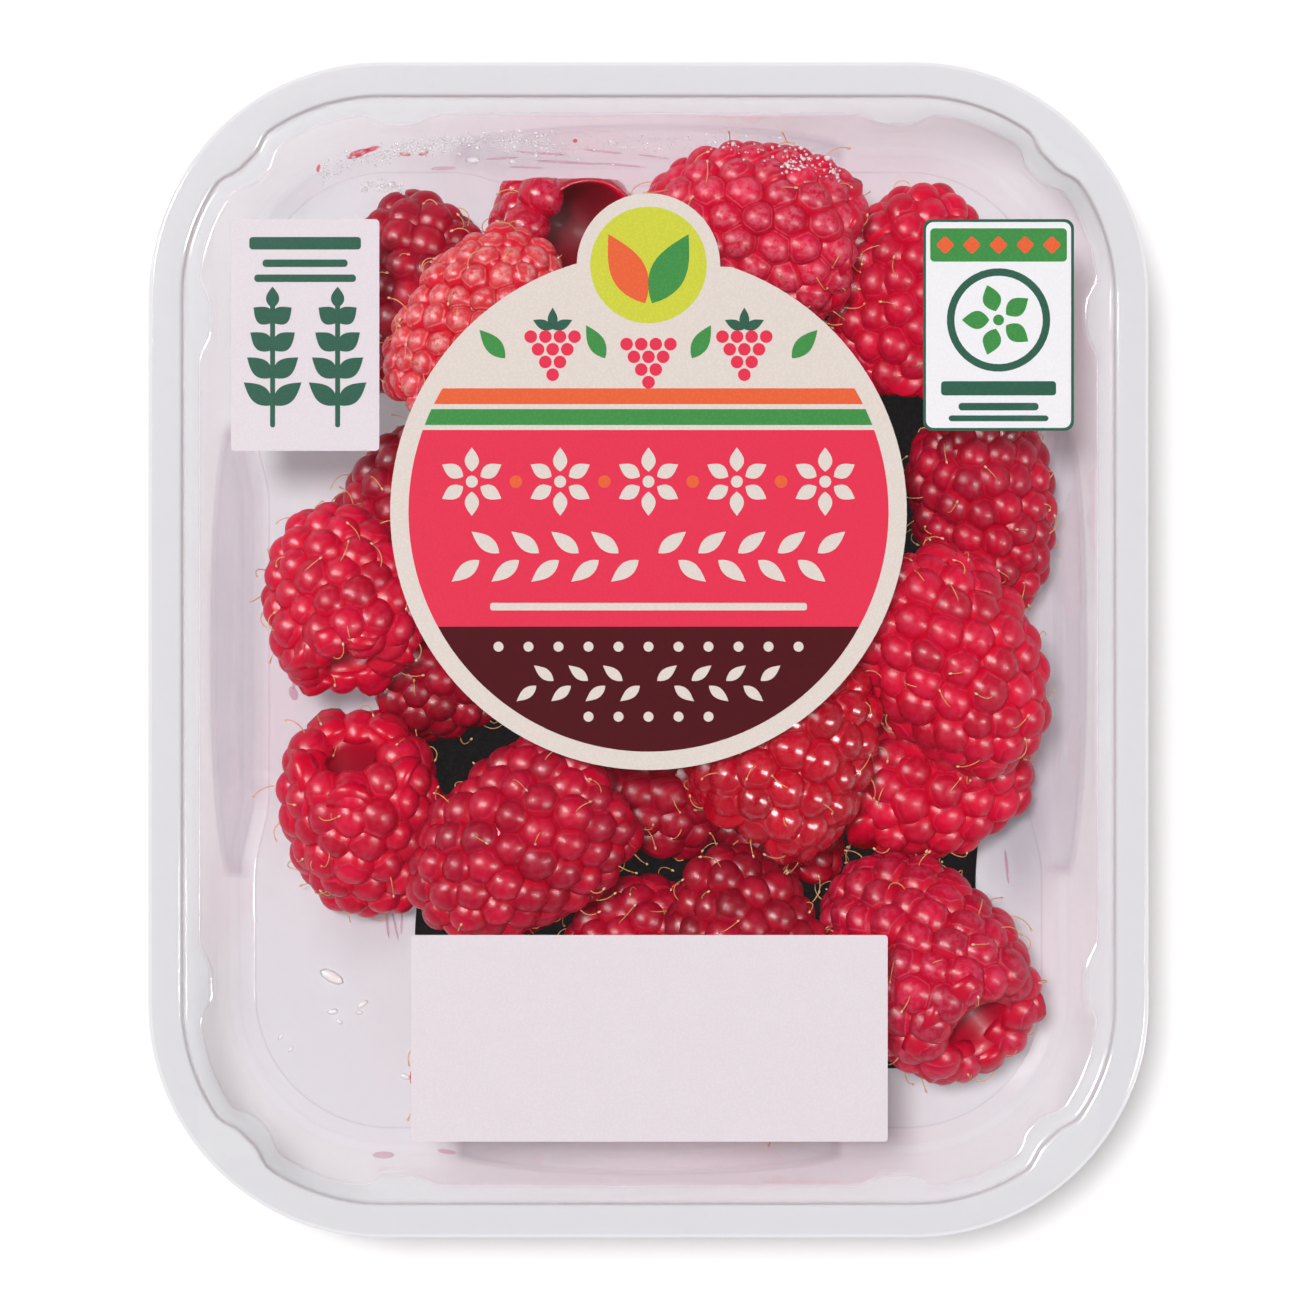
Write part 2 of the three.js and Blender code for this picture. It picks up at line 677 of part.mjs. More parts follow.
addPrint('date_panel', panelPlate(DATE_PANEL, PRINT_Z), LILAC_WHITE);

export default group;
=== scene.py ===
import math

import bmesh
import bpy
import numpy as np
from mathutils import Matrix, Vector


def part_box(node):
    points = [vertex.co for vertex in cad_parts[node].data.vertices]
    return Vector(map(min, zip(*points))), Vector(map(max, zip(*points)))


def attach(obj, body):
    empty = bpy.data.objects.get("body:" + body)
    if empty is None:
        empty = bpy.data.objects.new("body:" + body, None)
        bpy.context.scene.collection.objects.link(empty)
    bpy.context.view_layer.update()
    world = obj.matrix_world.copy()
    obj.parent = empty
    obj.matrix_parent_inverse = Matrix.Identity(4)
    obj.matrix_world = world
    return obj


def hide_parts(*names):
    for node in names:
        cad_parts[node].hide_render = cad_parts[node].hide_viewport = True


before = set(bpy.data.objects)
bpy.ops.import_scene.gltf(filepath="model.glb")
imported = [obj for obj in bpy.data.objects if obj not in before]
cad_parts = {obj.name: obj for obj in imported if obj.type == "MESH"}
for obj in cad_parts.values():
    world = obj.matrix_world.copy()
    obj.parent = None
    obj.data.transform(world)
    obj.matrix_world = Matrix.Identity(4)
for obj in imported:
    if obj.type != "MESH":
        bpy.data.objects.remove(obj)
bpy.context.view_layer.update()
MM = 0.001
rng = np.random.default_rng(26)

# The rows of a hexagonal pattern lie this share of its pitch apart
HEX_ROW = 0.87


def corners_mm(node):
    low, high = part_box(node)
    return np.array(low) / MM, np.array(high) / MM


# Tray, as in the CAD model
TRAY_LOW, TRAY_HIGH = corners_mm("tray")
TRAY_WIDTH, TRAY_LENGTH, TRAY_HEIGHT = TRAY_HIGH - TRAY_LOW
CORNER_RADIUS = 28
SHEET = 0.5
FLANGE_WIDTH = 3.9
STEP_DEPTH = 1.4
STEP_SLOPE = 0.3
LEDGE_WIDTH = 2.1
WALL_DRAFT = 2.0
BASE_FILLET = 3.2
FLOOR_INSET = 3.0
LUG_REACH = 1.5
LUG_HEIGHT = 3
LUG_FOOT = 16
LUG_WIDTH = 8
LUG_RAMP = 2.2
LUG_FROM_MIDDLE_LONG_SIDE = 40
LUG_FROM_MIDDLE_SHORT_SIDE = 30
CORNER_LUG_ON_STEP = 0.75
ARCH_REACH = 1.7
ARCH_HEIGHT = 24
ARCH_HALF_LONG_SIDE = 28
ARCH_HALF_SHORT_SIDE = 24
ARCH_EDGE = 0.35
NO_ARCH = 2

# Finer than the CAD model: the pitch of the tray's mesh and the radius of its pressed edges
STATION_PITCH = 1.1
ROW_PITCH = 1.3
EDGE_RADIUS = 0.4
EDGE_STEPS = 4
RIM_EDGE = 0.15
LUG_SOFTNESS = (-0.6, 1.2)
FLOOR_RINGS = 14

# How much white haze the ledge has beside the rim, a painted highlight, and where the painted shade
# lines along the three pressed folds start and end, in millimetres from each fold, and how strong they are
LEDGE_HIGHLIGHT_HAZE = 0.5
FOLD_REACH = (0.02, 0.2)
FOLD_DEPTHS = (0.5, 1.0, 0.35)

# Clear plastic: the colours of its haze and tints, among them the painted shade along its folds and its pink
# and grey painted reflection and shade, and how much it mirrors from the front and edge on
HAZE = (0.85, 0.84, 0.87, 1)
WHITE_HAZE = (0.97, 0.95, 0.96, 1)
FOLD_SHADE_TINT = (0.68, 0.54, 0.64, 1)
PINK_REFLECTION_AND_SHADE_TINT = (0.94, 0.84, 0.885, 1)
GREY_REFLECTION_AND_SHADE_TINT = (0.73, 0.71, 0.76, 1)
LEAST_MIRROR = 0.035
SHEET_MIRROR = 0.068
MOST_MIRROR = 0.3

# How hazy each clear thing is: over its sheet, and on its rim
TRAY_HAZE = (0.059, 0.975)
FILM_HAZE = (0.001, 0.001)
DEW_HAZE = (0.5, 0.5)
# The white haze of the drops on the floor is a painted glint
WATER_GLINT_HAZE = (0.8, 0.8)
JUICE_HAZE = (0.01, 0.01)

# Pink painted on the tray where it mirrors the raspberries and where shade falls beside them, and grey
# painted where it mirrors the pad and where shade falls: x and y of each soft patch, its half sizes and
# its strength
PINK_REFLECTION_AND_SHADE = [
    (6, 60, 44, 9, 0.6), (50, 34, 10, 26, 0.5), (-46, -6, 6, 26, 0.5), (6, -62, 40, 9, 0.5),
    (50, -30, 8, 24, 0.3), (-52, -30, 4, 9, 0.25), (-38, -6, 9, 34, 0.4), (-34, -30, 10, 10, 0.4),
]
GREY_REFLECTION_AND_SHADE = [(46, -20, 7, 16, 0.75), (-34, -33, 8, 7, 0.2), (-38, -4, 6, 6, 0.35), (44, 40, 6, 8, 0.15)]

# How sharply the painted shade on an arched panel starts at its border and above the floor, and how strong
# its pink and grey shade and its dark painted border line are
PANEL_BORDER = 0.05
PANEL_FOOT = 0.4
PANEL_PINK_SHADE = 0.4
PANEL_GREY_SHADE = 0.4
PANEL_SHADE_LINE = 0.28

# The way that the tray's rim throws its shadow: to the right and down
SHADED_FROM, SHADED_TO = -0.9, 0.3

# Pad
PAD_LOW, PAD_HIGH = corners_mm("pad")
PAD_TOP = PAD_HIGH[2]
PAD_MIDDLE = (PAD_LOW + PAD_HIGH) / 2
PAD_HALF = (PAD_HIGH - PAD_LOW) / 2

# Raspberries, as in the CAD model
WIDEST_AT = 0.34
RIM_SHARE = 0.74
TIP_POWER = 2.3
CLEARANCE = 0.3
SQUEEZE = 0.91
ROUNDS = 240
FALL = 0.2
HOME_PULL = 0.08
FURTHEST_MEETING = 36

# Each raspberry: x and y of its middle, the height that it falls from, the way its tip points seen
# from above and its tilt in degrees (tip up is positive), its length and width, and its looks
BERRIES = [
    (-26.5, 43, 12, 95, 5, 25, 20, "dark"),
    (-7, 52, 12, 150, -38, 22, 20, "torn"),
    (-29.5, 17.5, 12, 60, 0, 22, 18, "dark"),
    (16, -16, 12, 100, 0, 21, 17, "dark"),
    (-22, -3.5, 12, 20, 0, 22, 18, "dark"),
    (3.5, -22.5, 12, 80, 0, 23, 19, "dark"),
    (-15, -26, 12, 215, 0, 21, 17, "dark"),
    (29, -18, 12, 5, 0, 24, 19, "ripe"),
    (-3, -37, 12, 70, 0, 24, 19, "deep"),
    (13.5, -35, 12, 110, 0, 25, 20, "dark"),
    (39.5, 14.5, 12, -80, 0, 25, 19, "deep"),
    (-8, 31, 12, 30, 0, 24, 20, "ripe"),
    (13, 28, 12, 150, 0, 25, 20, "dark"),
    (-10, 12, 12, 120, 0, 24, 20, "ripe"),
    (16, 6, 12, 100, 0, 24, 20, "dark"),
    (-12.5, -51, 12, 80, 0, 24, 19, "ripe"),
    (9, -54.5, 12, 175, 0, 25, 19, "ripe"),
    (-36, 8.5, 23, 100, 6, 23, 19.5, "folded"),
    (-32, -17.5, 14, -82, -32, 26, 21, "opened"),
    (33, 44.5, 16, 85, 8, 27, 21, "ripe"),
    (-20.5, 40, 29, 62, 12, 26, 20, "pale"),
    (9, 51, 29, 170, 8, 27, 22, "frosty"),
    (-16, -24, 31, 215, 4, 29, 22, "deep"),
    (38.5, -1, 29, -55, 6, 29, 23, "plump"),
    (33, -37, 27, 128, 10, 31, 24, "bloomy"),
    (16.5, -15.5, 34, 60, 4, 25, 22, "wet"),
    (2, 19, 29, 20, 0, 25, 20, "ripe"),
]

# Balls that fill a raspberry: where along it, as a share of its length, and their share of its width
BALLS = [(0.28, 0.93), (0.5, 0.95), (0.72, 0.79), (0.86, 0.52)]

HALF_WIDTH = TRAY_WIDTH / 2
HALF_LENGTH = TRAY_LENGTH / 2
FLOOR_TOP = SHEET
WALL_INSET = FLANGE_WIDTH + STEP_SLOPE + LEDGE_WIDTH
LEDGE_Z = TRAY_HEIGHT - STEP_DEPTH
CORNER_LENGTH = CORNER_RADIUS * math.pi / 2


# Meshes and nodes

def smoothstep(value, low, high):
    """0 up to low, 1 from high on, and a smooth step between."""
    share = np.clip((value - low) / (high - low), 0, 1)
    return share * share * (3 - 2 * share)


def add_object(name, data):
    made = bpy.data.objects.new(name, data)
    bpy.context.scene.collection.objects.link(made)
    return made


def add_piece(name, points, faces, material, slot, replaced=(), smooth=True, attributes=None):
    """A piece that rides with the pack, from points in millimetres and faces that list them."""
    mesh = bpy.data.meshes.new(name)
    mesh.from_pydata((np.asarray(points, float) * MM).tolist(), [], faces)
    for key, values in (attributes or {}).items():
        attribute = mesh.attributes.new(key, "FLOAT", "POINT")
        attribute.data.foreach_set("value", np.asarray(values, np.float32))
    mesh.polygons.foreach_set("use_smooth", [smooth] * len(mesh.polygons))
    mesh.materials.append(material)
    mesh.update()
    piece = add_object(name, mesh)
    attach(piece, "root")
    if replaced:
        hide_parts(*replaced)


def set_inputs(tree, node, inputs):
    """Each input takes a value or another node's output."""
    for name, value in inputs.items():
        if isinstance(value, bpy.types.NodeSocket):
            tree.links.new(value, node.inputs[name])
        else:
            node.inputs[name].default_value = value


def add_node(tree, kind, inputs=None, **settings):
    node = tree.nodes.new(kind)
    for name, value in settings.items():
        setattr(node, name, value)
    set_inputs(tree, node, inputs or {})
    return node


def new_material(name):
    material = bpy.data.materials.new(name)
    material.use_nodes = True
    tree = material.node_tree
    return material, tree, tree.nodes["Principled BSDF"]


def set_surface(tree, surface):
    tree.links.new(surface.outputs[0], tree.nodes["Material Output"].inputs["Surface"])


def place_of(tree):
    return add_node(tree, "ShaderNodeTexCoord").outputs["Object"]


def noise(tree, size, detail=3.0, roughness=0.5):
    """Noise from 0 to 1 whose blotches are about size millimetres across."""
    inputs = {"Vector": place_of(tree), "Scale": 1 / (size * MM), "Detail": detail, "Roughness": roughness}
    return add_node(tree, "ShaderNodeTexNoise", inputs).outputs["Fac"]


def attribute(tree, name):
    return add_node(tree, "ShaderNodeAttribute", attribute_name=name).outputs["Fac"]


def spread(tree, value, low, high, start=0.0, end=1.0):
    """value from low to high turned smoothly into start to end."""
    inputs = {"Value": value, "From Min": low, "From Max": high, "To Min": start, "To Max": end}
    return add_node(tree, "ShaderNodeMapRange", inputs, interpolation_type="SMOOTHSTEP").outputs[0]


def calculated(tree, operation, one, other):
    return add_node(tree, "ShaderNodeMath", {0: one, 1: other}, operation=operation).outputs[0]


def times(tree, one, other):
    return calculated(tree, "MULTIPLY", one, other)


def plus(tree, one, other):
    return calculated(tree, "ADD", one, other)


def blend_colours(tree, share, one, other):
    """one at share 0 and other at share 1."""
    return add_node(tree, "ShaderNodeMix", {0: share, 6: one, 7: other}, data_type="RGBA").outputs[2]


def blend_shaders(tree, share, one, other):
    """one at share 0 and other at share 1."""
    return add_node(tree, "ShaderNodeMixShader", {0: share, 1: one.outputs[0], 2: other.outputs[0]})


def bump(tree, height, strength, distance):
    inputs = {"Height": height, "Strength": strength, "Distance": distance * MM}
    return add_node(tree, "ShaderNodeBump", inputs).outputs[0]


def linear(red, green, blue):
    """A colour given as it looks in a photo, from 0 to 255, as Blender's linear colour."""
    shares = [part / 255 for part in (red, green, blue)]
    return [part / 12.92 if part <= 0.04045 else ((part + 0.055) / 1.055) ** 2.4 for part in shares] + [1]


# The tray's outline: straight sides, right, top, left and bottom, each with the corner after it

def sides():
    found = []
    for turn in range(4):
        short = turn % 2 == 1
        found.append({
            "angle": turn * math.pi / 2,
            "half": (HALF_WIDTH if short else HALF_LENGTH) - CORNER_RADIUS,
            "out": (HALF_LENGTH if short else HALF_WIDTH) - CORNER_RADIUS,
            "lug": LUG_FROM_MIDDLE_SHORT_SIDE if short else LUG_FROM_MIDDLE_LONG_SIDE,
            "arch": ARCH_HALF_SHORT_SIDE if short else ARCH_HALF_LONG_SIDE,
        })
    return found


def station_at(distance):
    """The centre that the outline turns about, its normal, and how far across an arched panel it is."""
    left = distance
    for side in sides():
        on_side = left <= 2 * side["half"]
        reach = left - side["half"] if on_side else side["half"]
        normal = np.array([math.cos(side["angle"]), math.sin(side["angle"])])
        along = np.array([-normal[1], normal[0]])
        centre = normal * side["out"] + along * reach
        if on_side:
            return centre, normal, reach / side["arch"]
        left -= 2 * side["half"]
        if left < CORNER_LENGTH:
            angle = side["angle"] + left / CORNER_RADIUS
            return centre, np.array([math.cos(angle), math.sin(angle)]), NO_ARCH
        left -= CORNER_LENGTH
    return station_at(0)


def lug_middles():
    middles = []
    start = 0
    for side in sides():
        middles += [start + side["half"] - side["lug"], start + side["half"] + side["lug"]]
        middles.append(start + 2 * side["half"] + CORNER_LENGTH / 2)
        start += 2 * side["half"] + CORNER_LENGTH
    return np.array(middles), start


class Stations:
    """Evenly spaced stations round the tray's outline."""

    def __init__(self, pitch):
        middles, total = lug_middles()
        self.count = round(total / pitch)
        self.distances = np.arange(self.count) * total / self.count
        found = [station_at(distance) for distance in self.distances]
        self.centres = np.array([centre for centre, _, _ in found])
        self.normals = np.array([normal for _, normal, _ in found])
        self.arch_across = np.array([across for _, _, across in found])
        gaps = np.abs((self.distances[:, None] - middles + 1.5 * total) % total - total / 2)
        lugs = smoothstep((LUG_WIDTH / 2 - gaps) / LUG_RAMP, *LUG_SOFTNESS)
        self.lug = lugs.max(1)
        self.corner_lug = lugs[:, 2::3].max(1)

    def ring(self, inset, z, lug=0.0, corner_lug=0.0):
        """Points round the tray at a distance in from its rim and a height."""
        pressed = arch_at(self.arch_across, z) * ARCH_REACH
        pressed = pressed + (self.lug * lug + self.corner_lug * corner_lug) * LUG_REACH
        radius = CORNER_RADIUS - inset - pressed
        flat = self.centres + self.normals * radius[:, None]
        return np.column_stack([flat, np.full(self.count, z)])


def arch_at(across, z):
    """How far an arched panel presses the wall in, from 0 to 1."""
    return smoothstep(1 - np.hypot(across, z / ARCH_HEIGHT), 0, ARCH_EDGE)


def wall_inset(z):
    return WALL_INSET + WALL_DRAFT * (LEDGE_Z - z) / LEDGE_Z


def tray_section():
    """The inside of the tray's section: inset from the rim, height, and shares of the lugs."""
    base = wall_inset(BASE_FILLET)
    lug_foot = LEDGE_Z - LUG_HEIGHT
    lug_end = lug_foot - LUG_FOOT
    return np.array([
        (0, TRAY_HEIGHT, 0, 0),
        (RIM_EDGE, TRAY_HEIGHT, 0, 0),
        (FLANGE_WIDTH, TRAY_HEIGHT, 0, CORNER_LUG_ON_STEP),
        (FLANGE_WIDTH + STEP_SLOPE, LEDGE_Z, 0, CORNER_LUG_ON_STEP),
        (WALL_INSET, LEDGE_Z, 1, 0),
        (wall_inset(lug_foot), lug_foot, 1, 0),
        (wall_inset(lug_end), lug_end, 0, 0),
        (base, BASE_FILLET, 0, 0),
        (base + FLOOR_INSET / 3, BASE_FILLET / 3 + FLOOR_TOP / 2, 0, 0),
        (base + FLOOR_INSET, FLOOR_TOP, 0, 0),
        (base + 2 * FLOOR_INSET, FLOOR_TOP, 0, 0),
    ])


def rounded_section(rows, radius, steps, pitch):
    """The section with each corner rounded and its straight parts divided."""
    rounded = [rows[0]]
    for before, corner, after in zip(rows[:-2], rows[1:-1], rows[2:]):
        ways = [before - corner, after - corner]
        sizes = [math.hypot(way[0], way[1]) for way in ways]
        starts = [corner + way * min(radius / size, 0.45) for way, size in zip(ways, sizes)]
        for step in range(steps + 1):
            t = step / steps
            rounded.append((1 - t) ** 2 * starts[0] + 2 * t * (1 - t) * corner + t * t * starts[1])
    rounded.append(rows[-1])
    divided = [rounded[0]]
    for one, other in zip(rounded[:-1], rounded[1:]):
        parts = max(1, math.ceil(math.hypot(*(other - one)[:2]) / pitch))
        divided += [one + (other - one) * part / parts for part in range(1, parts + 1)]
    return np.array(divided)


def moved_out(section, distance):
    """The section moved outwards and down by the thickness of the sheet."""
    ways = np.diff(section[:, :2], axis=0)
    normals = np.column_stack([ways[:, 1], -ways[:, 0]]) / np.hypot(*ways.T)[:, None]
    before = np.vstack([normals[:1], normals])
    after = np.vstack([normals, normals[-1:]])
    miter = 1 + (before * after).sum(1)
    moved = section.copy()
    moved[:, :2] += distance * (before + after) / miter[:, None]
    moved[:, :2] = np.maximum(moved[:, :2], 0)
    return moved


def skin_of(rings, first, last):
    """Points and faces of a closed skin through rings of points, closed at each end by a fan."""
    count = len(rings[0])
    points = np.vstack([[first], *rings, [last]])
    steps = np.arange(count)
    following = (steps + 1) % count
    pairs = list(zip(steps.tolist(), following.tolist()))
    faces = []
    for ring in range(len(rings) - 1):
        low = 1 + ring * count
        high = low + count
        faces += np.column_stack([low + steps, high + steps, high + following, low + following]).tolist()
    faces += [(0, 1 + step, 1 + nxt) for step, nxt in pairs]
    end = 1 + (len(rings) - 1) * count
    faces += [(len(points) - 1, end + nxt, end + step) for step, nxt in pairs]
    return points, faces


def floor_rings(outermost, z):
    """Rings of the tray's floor, from near its middle out to just inside the given ring."""
    return [outermost * [share, share, 0] + [0, 0, z] for share in np.arange(1, FLOOR_RINGS) / FLOOR_RINGS]


def clear_plastic(name, through, deep, haze, shadow, roughness, hazy=HAZE, mirror=LEAST_MIRROR):
    """See-through plastic: tinted where it is seen edge on, with a faint haze and a gloss on top.

    A thick clear sheet bends some of the light away from what lies under it, which a plain see-through
    surface doesn't, so light on its way to a lamp is held back by a tint of its own. haze is a pair for
    the sheet and its rim, and shadow for the sheet and the shaded side of its rim. Of a sheet's two
    skins only the first carries haze and gloss."""
    material, tree, shader = new_material(name)
    first_skin = calculated(tree, "SUBTRACT", 1.0, attribute(tree, "second"))
    facing = add_node(tree, "ShaderNodeLayerWeight", {"Blend": 0.5}).outputs["Facing"]
    colour = blend_colours(tree, calculated(tree, "POWER", facing, 4.0), through, deep)
    # Painted reflection and shade: pink and grey patches, and dark lines along the folds
    for key, tint in (("pink_reflection_and_shade", PINK_REFLECTION_AND_SHADE_TINT), ("grey_reflection_and_shade", GREY_REFLECTION_AND_SHADE_TINT), ("fold_line_shade", FOLD_SHADE_TINT)):
        colour = blend_colours(tree, attribute(tree, key), colour, tint)
    clear = add_node(tree, "ShaderNodeBsdfTransparent", {"Color": colour})
    mist = add_node(tree, "ShaderNodeBsdfDiffuse", {"Color": hazy})
    hazed = times(tree, spread(tree, attribute(tree, "rim"), 0, 1, *haze), first_skin)
    body = blend_shaders(tree, hazed, clear, mist)
    gloss = add_node(tree, "ShaderNodeBsdfGlossy", {"Roughness": roughness})
    steep = calculated(tree, "POWER", facing, 5.0)
    share = times(tree, plus(tree, times(tree, steep, MOST_MIRROR), mirror), first_skin)
    seen = blend_shaders(tree, share, body, gloss)
    held_back = blend_colours(tree, attribute(tree, "dim"), *shadow)
    dimmed = add_node(tree, "ShaderNodeBsdfTransparent", {"Color": held_back})
    to_lamp = add_node(tree, "ShaderNodeLightPath").outputs["Is Shadow Ray"]
    tree.nodes.remove(shader)
    set_surface(tree, blend_shaders(tree, to_lamp, seen, dimmed))
    return material


def patches_at(points, patches):
    """How strong soft patches are at each point, from 0 to 1."""
    found = np.zeros(len(points))
    for x, y, half_x, half_y, strength in patches:
        gap = np.hypot((points[:, 0] - x) / half_x, (points[:, 1] - y) / half_y)
        found = np.maximum(found, strength * (1 - smoothstep(gap, 0.2, 1.1)))
    return found


def panel_share(points, stations):
    """How far each point is on an arched wall panel, and how far on the border of one."""
    rings = (len(points) - 2) // stations.count
    across = np.concatenate([[NO_ARCH], np.tile(stations.arch_across, rings), [NO_ARCH]])
    height = points[:, 2]
    inside = 1 - np.hypot(across, height / ARCH_HEIGHT)
    on_wall = smoothstep(height, FLOOR_TOP, FLOOR_TOP + PANEL_FOOT)
    border = 1 - smoothstep(np.abs(inside - PANEL_BORDER / 2), 0, PANEL_BORDER)
    return smoothstep(inside, 0, PANEL_BORDER) * on_wall, border * on_wall


def second_skin(points):
    """1 on the second half of a sheet's points, which are its lower or outer skin."""
    return np.arange(len(points)) >= len(points) / 2


def fold_share(section):
    """How near each row of the section is to one of its three pressed folds, as thin lines of painted shade.
    """
    base_edge = (wall_inset(BASE_FILLET) + FLOOR_INSET, FLOOR_TOP)
    folds = np.array([(FLANGE_WIDTH, TRAY_HEIGHT), (WALL_INSET, LEDGE_Z), base_edge])
    gaps = np.hypot(*(section[:, None, :2] - folds).transpose(2, 0, 1))
    return (1 - smoothstep(gaps, *FOLD_REACH)) @ FOLD_DEPTHS


def make_tray():
    stations = Stations(STATION_PITCH)
    inside = rounded_section(tray_section(), EDGE_RADIUS, EDGE_STEPS, ROW_PITCH)
    outside = moved_out(inside, SHEET)
    inner = [stations.ring(*row) for row in inside[::-1]]
    outer = [stations.ring(*row) for row in outside]
    rings = floor_rings(inner[0], FLOOR_TOP) + inner + outer + floor_rings(outer[-1], 0)[::-1]
    points, faces = skin_of(rings, [0, 0, FLOOR_TOP], [0, 0, 0])
    through, deep = (0.95, 0.948, 0.966, 1), (0.99, 0.97, 0.984, 1)
    shadow = (0.955, 0.95, 0.955, 1), (0.25, 0.25, 0.25, 1)
    material = clear_plastic(
        "clear_tray_plastic", through, deep, TRAY_HAZE, shadow, 0.06, mirror=SHEET_MIRROR)
    attributes = tray_attributes(points, inside, outside, stations)
    add_piece("tray_shell", points, faces, material, "clear_tray", ["tray"], attributes=attributes)


def tray_attributes(points, inside, outside, stations):
    """How strong each look of the tray's plastic is at each of its points."""
    on_floor = np.zeros(FLOOR_RINGS - 1)
    insets = np.concatenate([inside[::-1, 0], outside[:, 0]])
    on_rim = smoothstep(FLANGE_WIDTH + SHEET - insets, 0, SHEET)
    # The ledge beside the rim gets white haze as a painted highlight
    on_rim = np.maximum(on_rim, LEDGE_HIGHLIGHT_HAZE * smoothstep(WALL_INSET - insets, 0, SHEET))
    folds = np.concatenate([fold_share(inside[::-1]), np.zeros(len(outside))])

    def all_round(rows):
        rows = np.concatenate([on_floor, rows, on_floor])
        return np.concatenate([[0], np.repeat(rows, stations.count), [0]])

    shaded = smoothstep(points[:, 0] / HALF_WIDTH - points[:, 1] / HALF_LENGTH, SHADED_FROM, SHADED_TO)
    panels, borders = panel_share(points, stations)
    beside = smoothstep(np.abs(points[:, 0]) / HALF_WIDTH, 0, 0.5)
    return {
        "rim": all_round(on_rim),
        "dim": all_round(insets < FLANGE_WIDTH) * shaded,
        # Painted shade: dark lines along the folds and along the arched panels' borders
        "fold_line_shade": np.maximum(all_round(folds), borders * PANEL_SHADE_LINE),
        "second": second_skin(points),
        # Painted reflection and shade: pink where raspberries are mirrored and beside them, grey where the
        # pad is mirrored
        "pink_reflection_and_shade": np.maximum(patches_at(points, PINK_REFLECTION_AND_SHADE), panels * PANEL_PINK_SHADE),
        "grey_reflection_and_shade": np.maximum(patches_at(points, GREY_REFLECTION_AND_SHADE), panels * beside * PANEL_GREY_SHADE),
    }


# Film

FILM_LOW, FILM_HIGH = corners_mm("film")
FILM_TOP = FILM_HIGH[2]
FILM_THICKNESS = 0.1
FILM_RINGS = 40
FILM_PITCH = 1.6
FILM_EDGE_SHARE = 0.998
SLACK = 0.12
RIPPLE = 0.05

# Shares of the way out from the middle to the rim: where the film's waves end, and its ripples start
FILM_FLAT = (0.86, 0.95)
RIPPLES_FROM = (0.7, 0.9)


def film_height(x, y):
    """How far the film's top lies above or below its level: slack waves, and ripples by the flange."""
    x, y = np.asarray(x, float), np.asarray(y, float)
    slack = np.sin(x / 17 + 0.6 * np.sin(y / 23)) * np.cos(y / 21 + 0.4)
    reach = np.maximum(np.abs(x) / HALF_WIDTH, np.abs(y) / HALF_LENGTH)
    inside = 1 - smoothstep(reach, *FILM_FLAT)
    ripples = np.sin(x / 2.1 + np.sin(y / 5)) * np.sin(y / 2.7) * smoothstep(reach, *RIPPLES_FROM)
    return (SLACK * (slack - 1) + RIPPLE * ripples) * inside


def make_film():
    stations = Stations(FILM_PITCH)
    inset = FILM_LOW[0] - TRAY_LOW[0]
    edge = stations.ring(inset, FILM_TOP + ARCH_HEIGHT)
    rings = []
    for share in [*np.arange(1, FILM_RINGS) / FILM_RINGS, FILM_EDGE_SHARE, 1]:
        x, y = edge[:, 0] * share, edge[:, 1] * share
        rings.append(np.column_stack([x, y, FILM_TOP + film_height(x, y)]))
    under = [ring - [0, 0, FILM_THICKNESS] for ring in rings[::-1]]
    middle = FILM_TOP + float(film_height(0, 0))
    points, faces = skin_of(rings + under, [0, 0, middle], [0, 0, middle - FILM_THICKNESS])
    faces = [face[::-1] for face in faces]
    through, deep = (0.992, 0.99, 0.992, 1), (0.95, 0.94, 0.95, 1)
    shadow = [(0.985, 0.985, 0.985, 1)] * 2
    material = clear_plastic("clear_lid_film", through, deep, FILM_HAZE, shadow, 0.05, mirror=SHEET_MIRROR)
    attributes = {"second": second_skin(points)}
    add_piece("lid_film", points, faces, material, "clear_film", ["film"], attributes=attributes)


# Print on the film

INK = 0.03
INK_LIFT = 0.004
INK_DOT_PITCH = 0.32
INK_CLOUDS = 5
PRINT_GRID = 4
STRIPE_RADIUS = 0.4
DARK_INK_TINT = (0.56, 0.13, 0.17, 1)

# Each ink: its slot, its colour and the second shade of its dots from 0 to 255, and its see-through share
INKS = {
    "cream": ("cream_print", (231, 221, 213), (219, 206, 198), 0.05),
    "red": ("red_print", (238, 24, 66), (222, 22, 70), 0.04),
    "dark_red": ("dark_red_print", (96, 8, 26), (74, 2, 20), 0.66),
    "green": ("green_print", (60, 150, 62), (40, 130, 54), 0.03),
    "orange": ("orange_print", (240, 100, 38), (224, 84, 34), 0.03),
    "yellow": ("yellow_green_print", (216, 214, 44), (196, 200, 50), 0.03),
    "dark_green": ("dark_green_print", (24, 96, 72), (16, 78, 60), 0.02),
    "white": ("white_print", (232, 222, 228), (224, 214, 220), 0.05),
    "panel_field": ("white_print", (244, 242, 244), (236, 234, 238), 0.04),
}


def circle(x, y, radius, start=0.0, end=360.0, steps=None):
    steps = steps or max(10, round(abs(end - start) / 360 * (24 + 4 * radius)))
    whole = abs(end - start) >= 360
    angles = np.radians(np.linspace(start, end, steps, endpoint=not whole))
    return [(x + radius * math.cos(angle), y + radius * math.sin(angle)) for angle in angles]


def turned_outline(x, y, points, turn):
    """Points turned by an angle in degrees and moved to x, y."""
    across, up = math.cos(math.radians(turn)), math.sin(math.radians(turn))
    return [(x + a * across - b * up, y + a * up + b * across) for a, b in points]


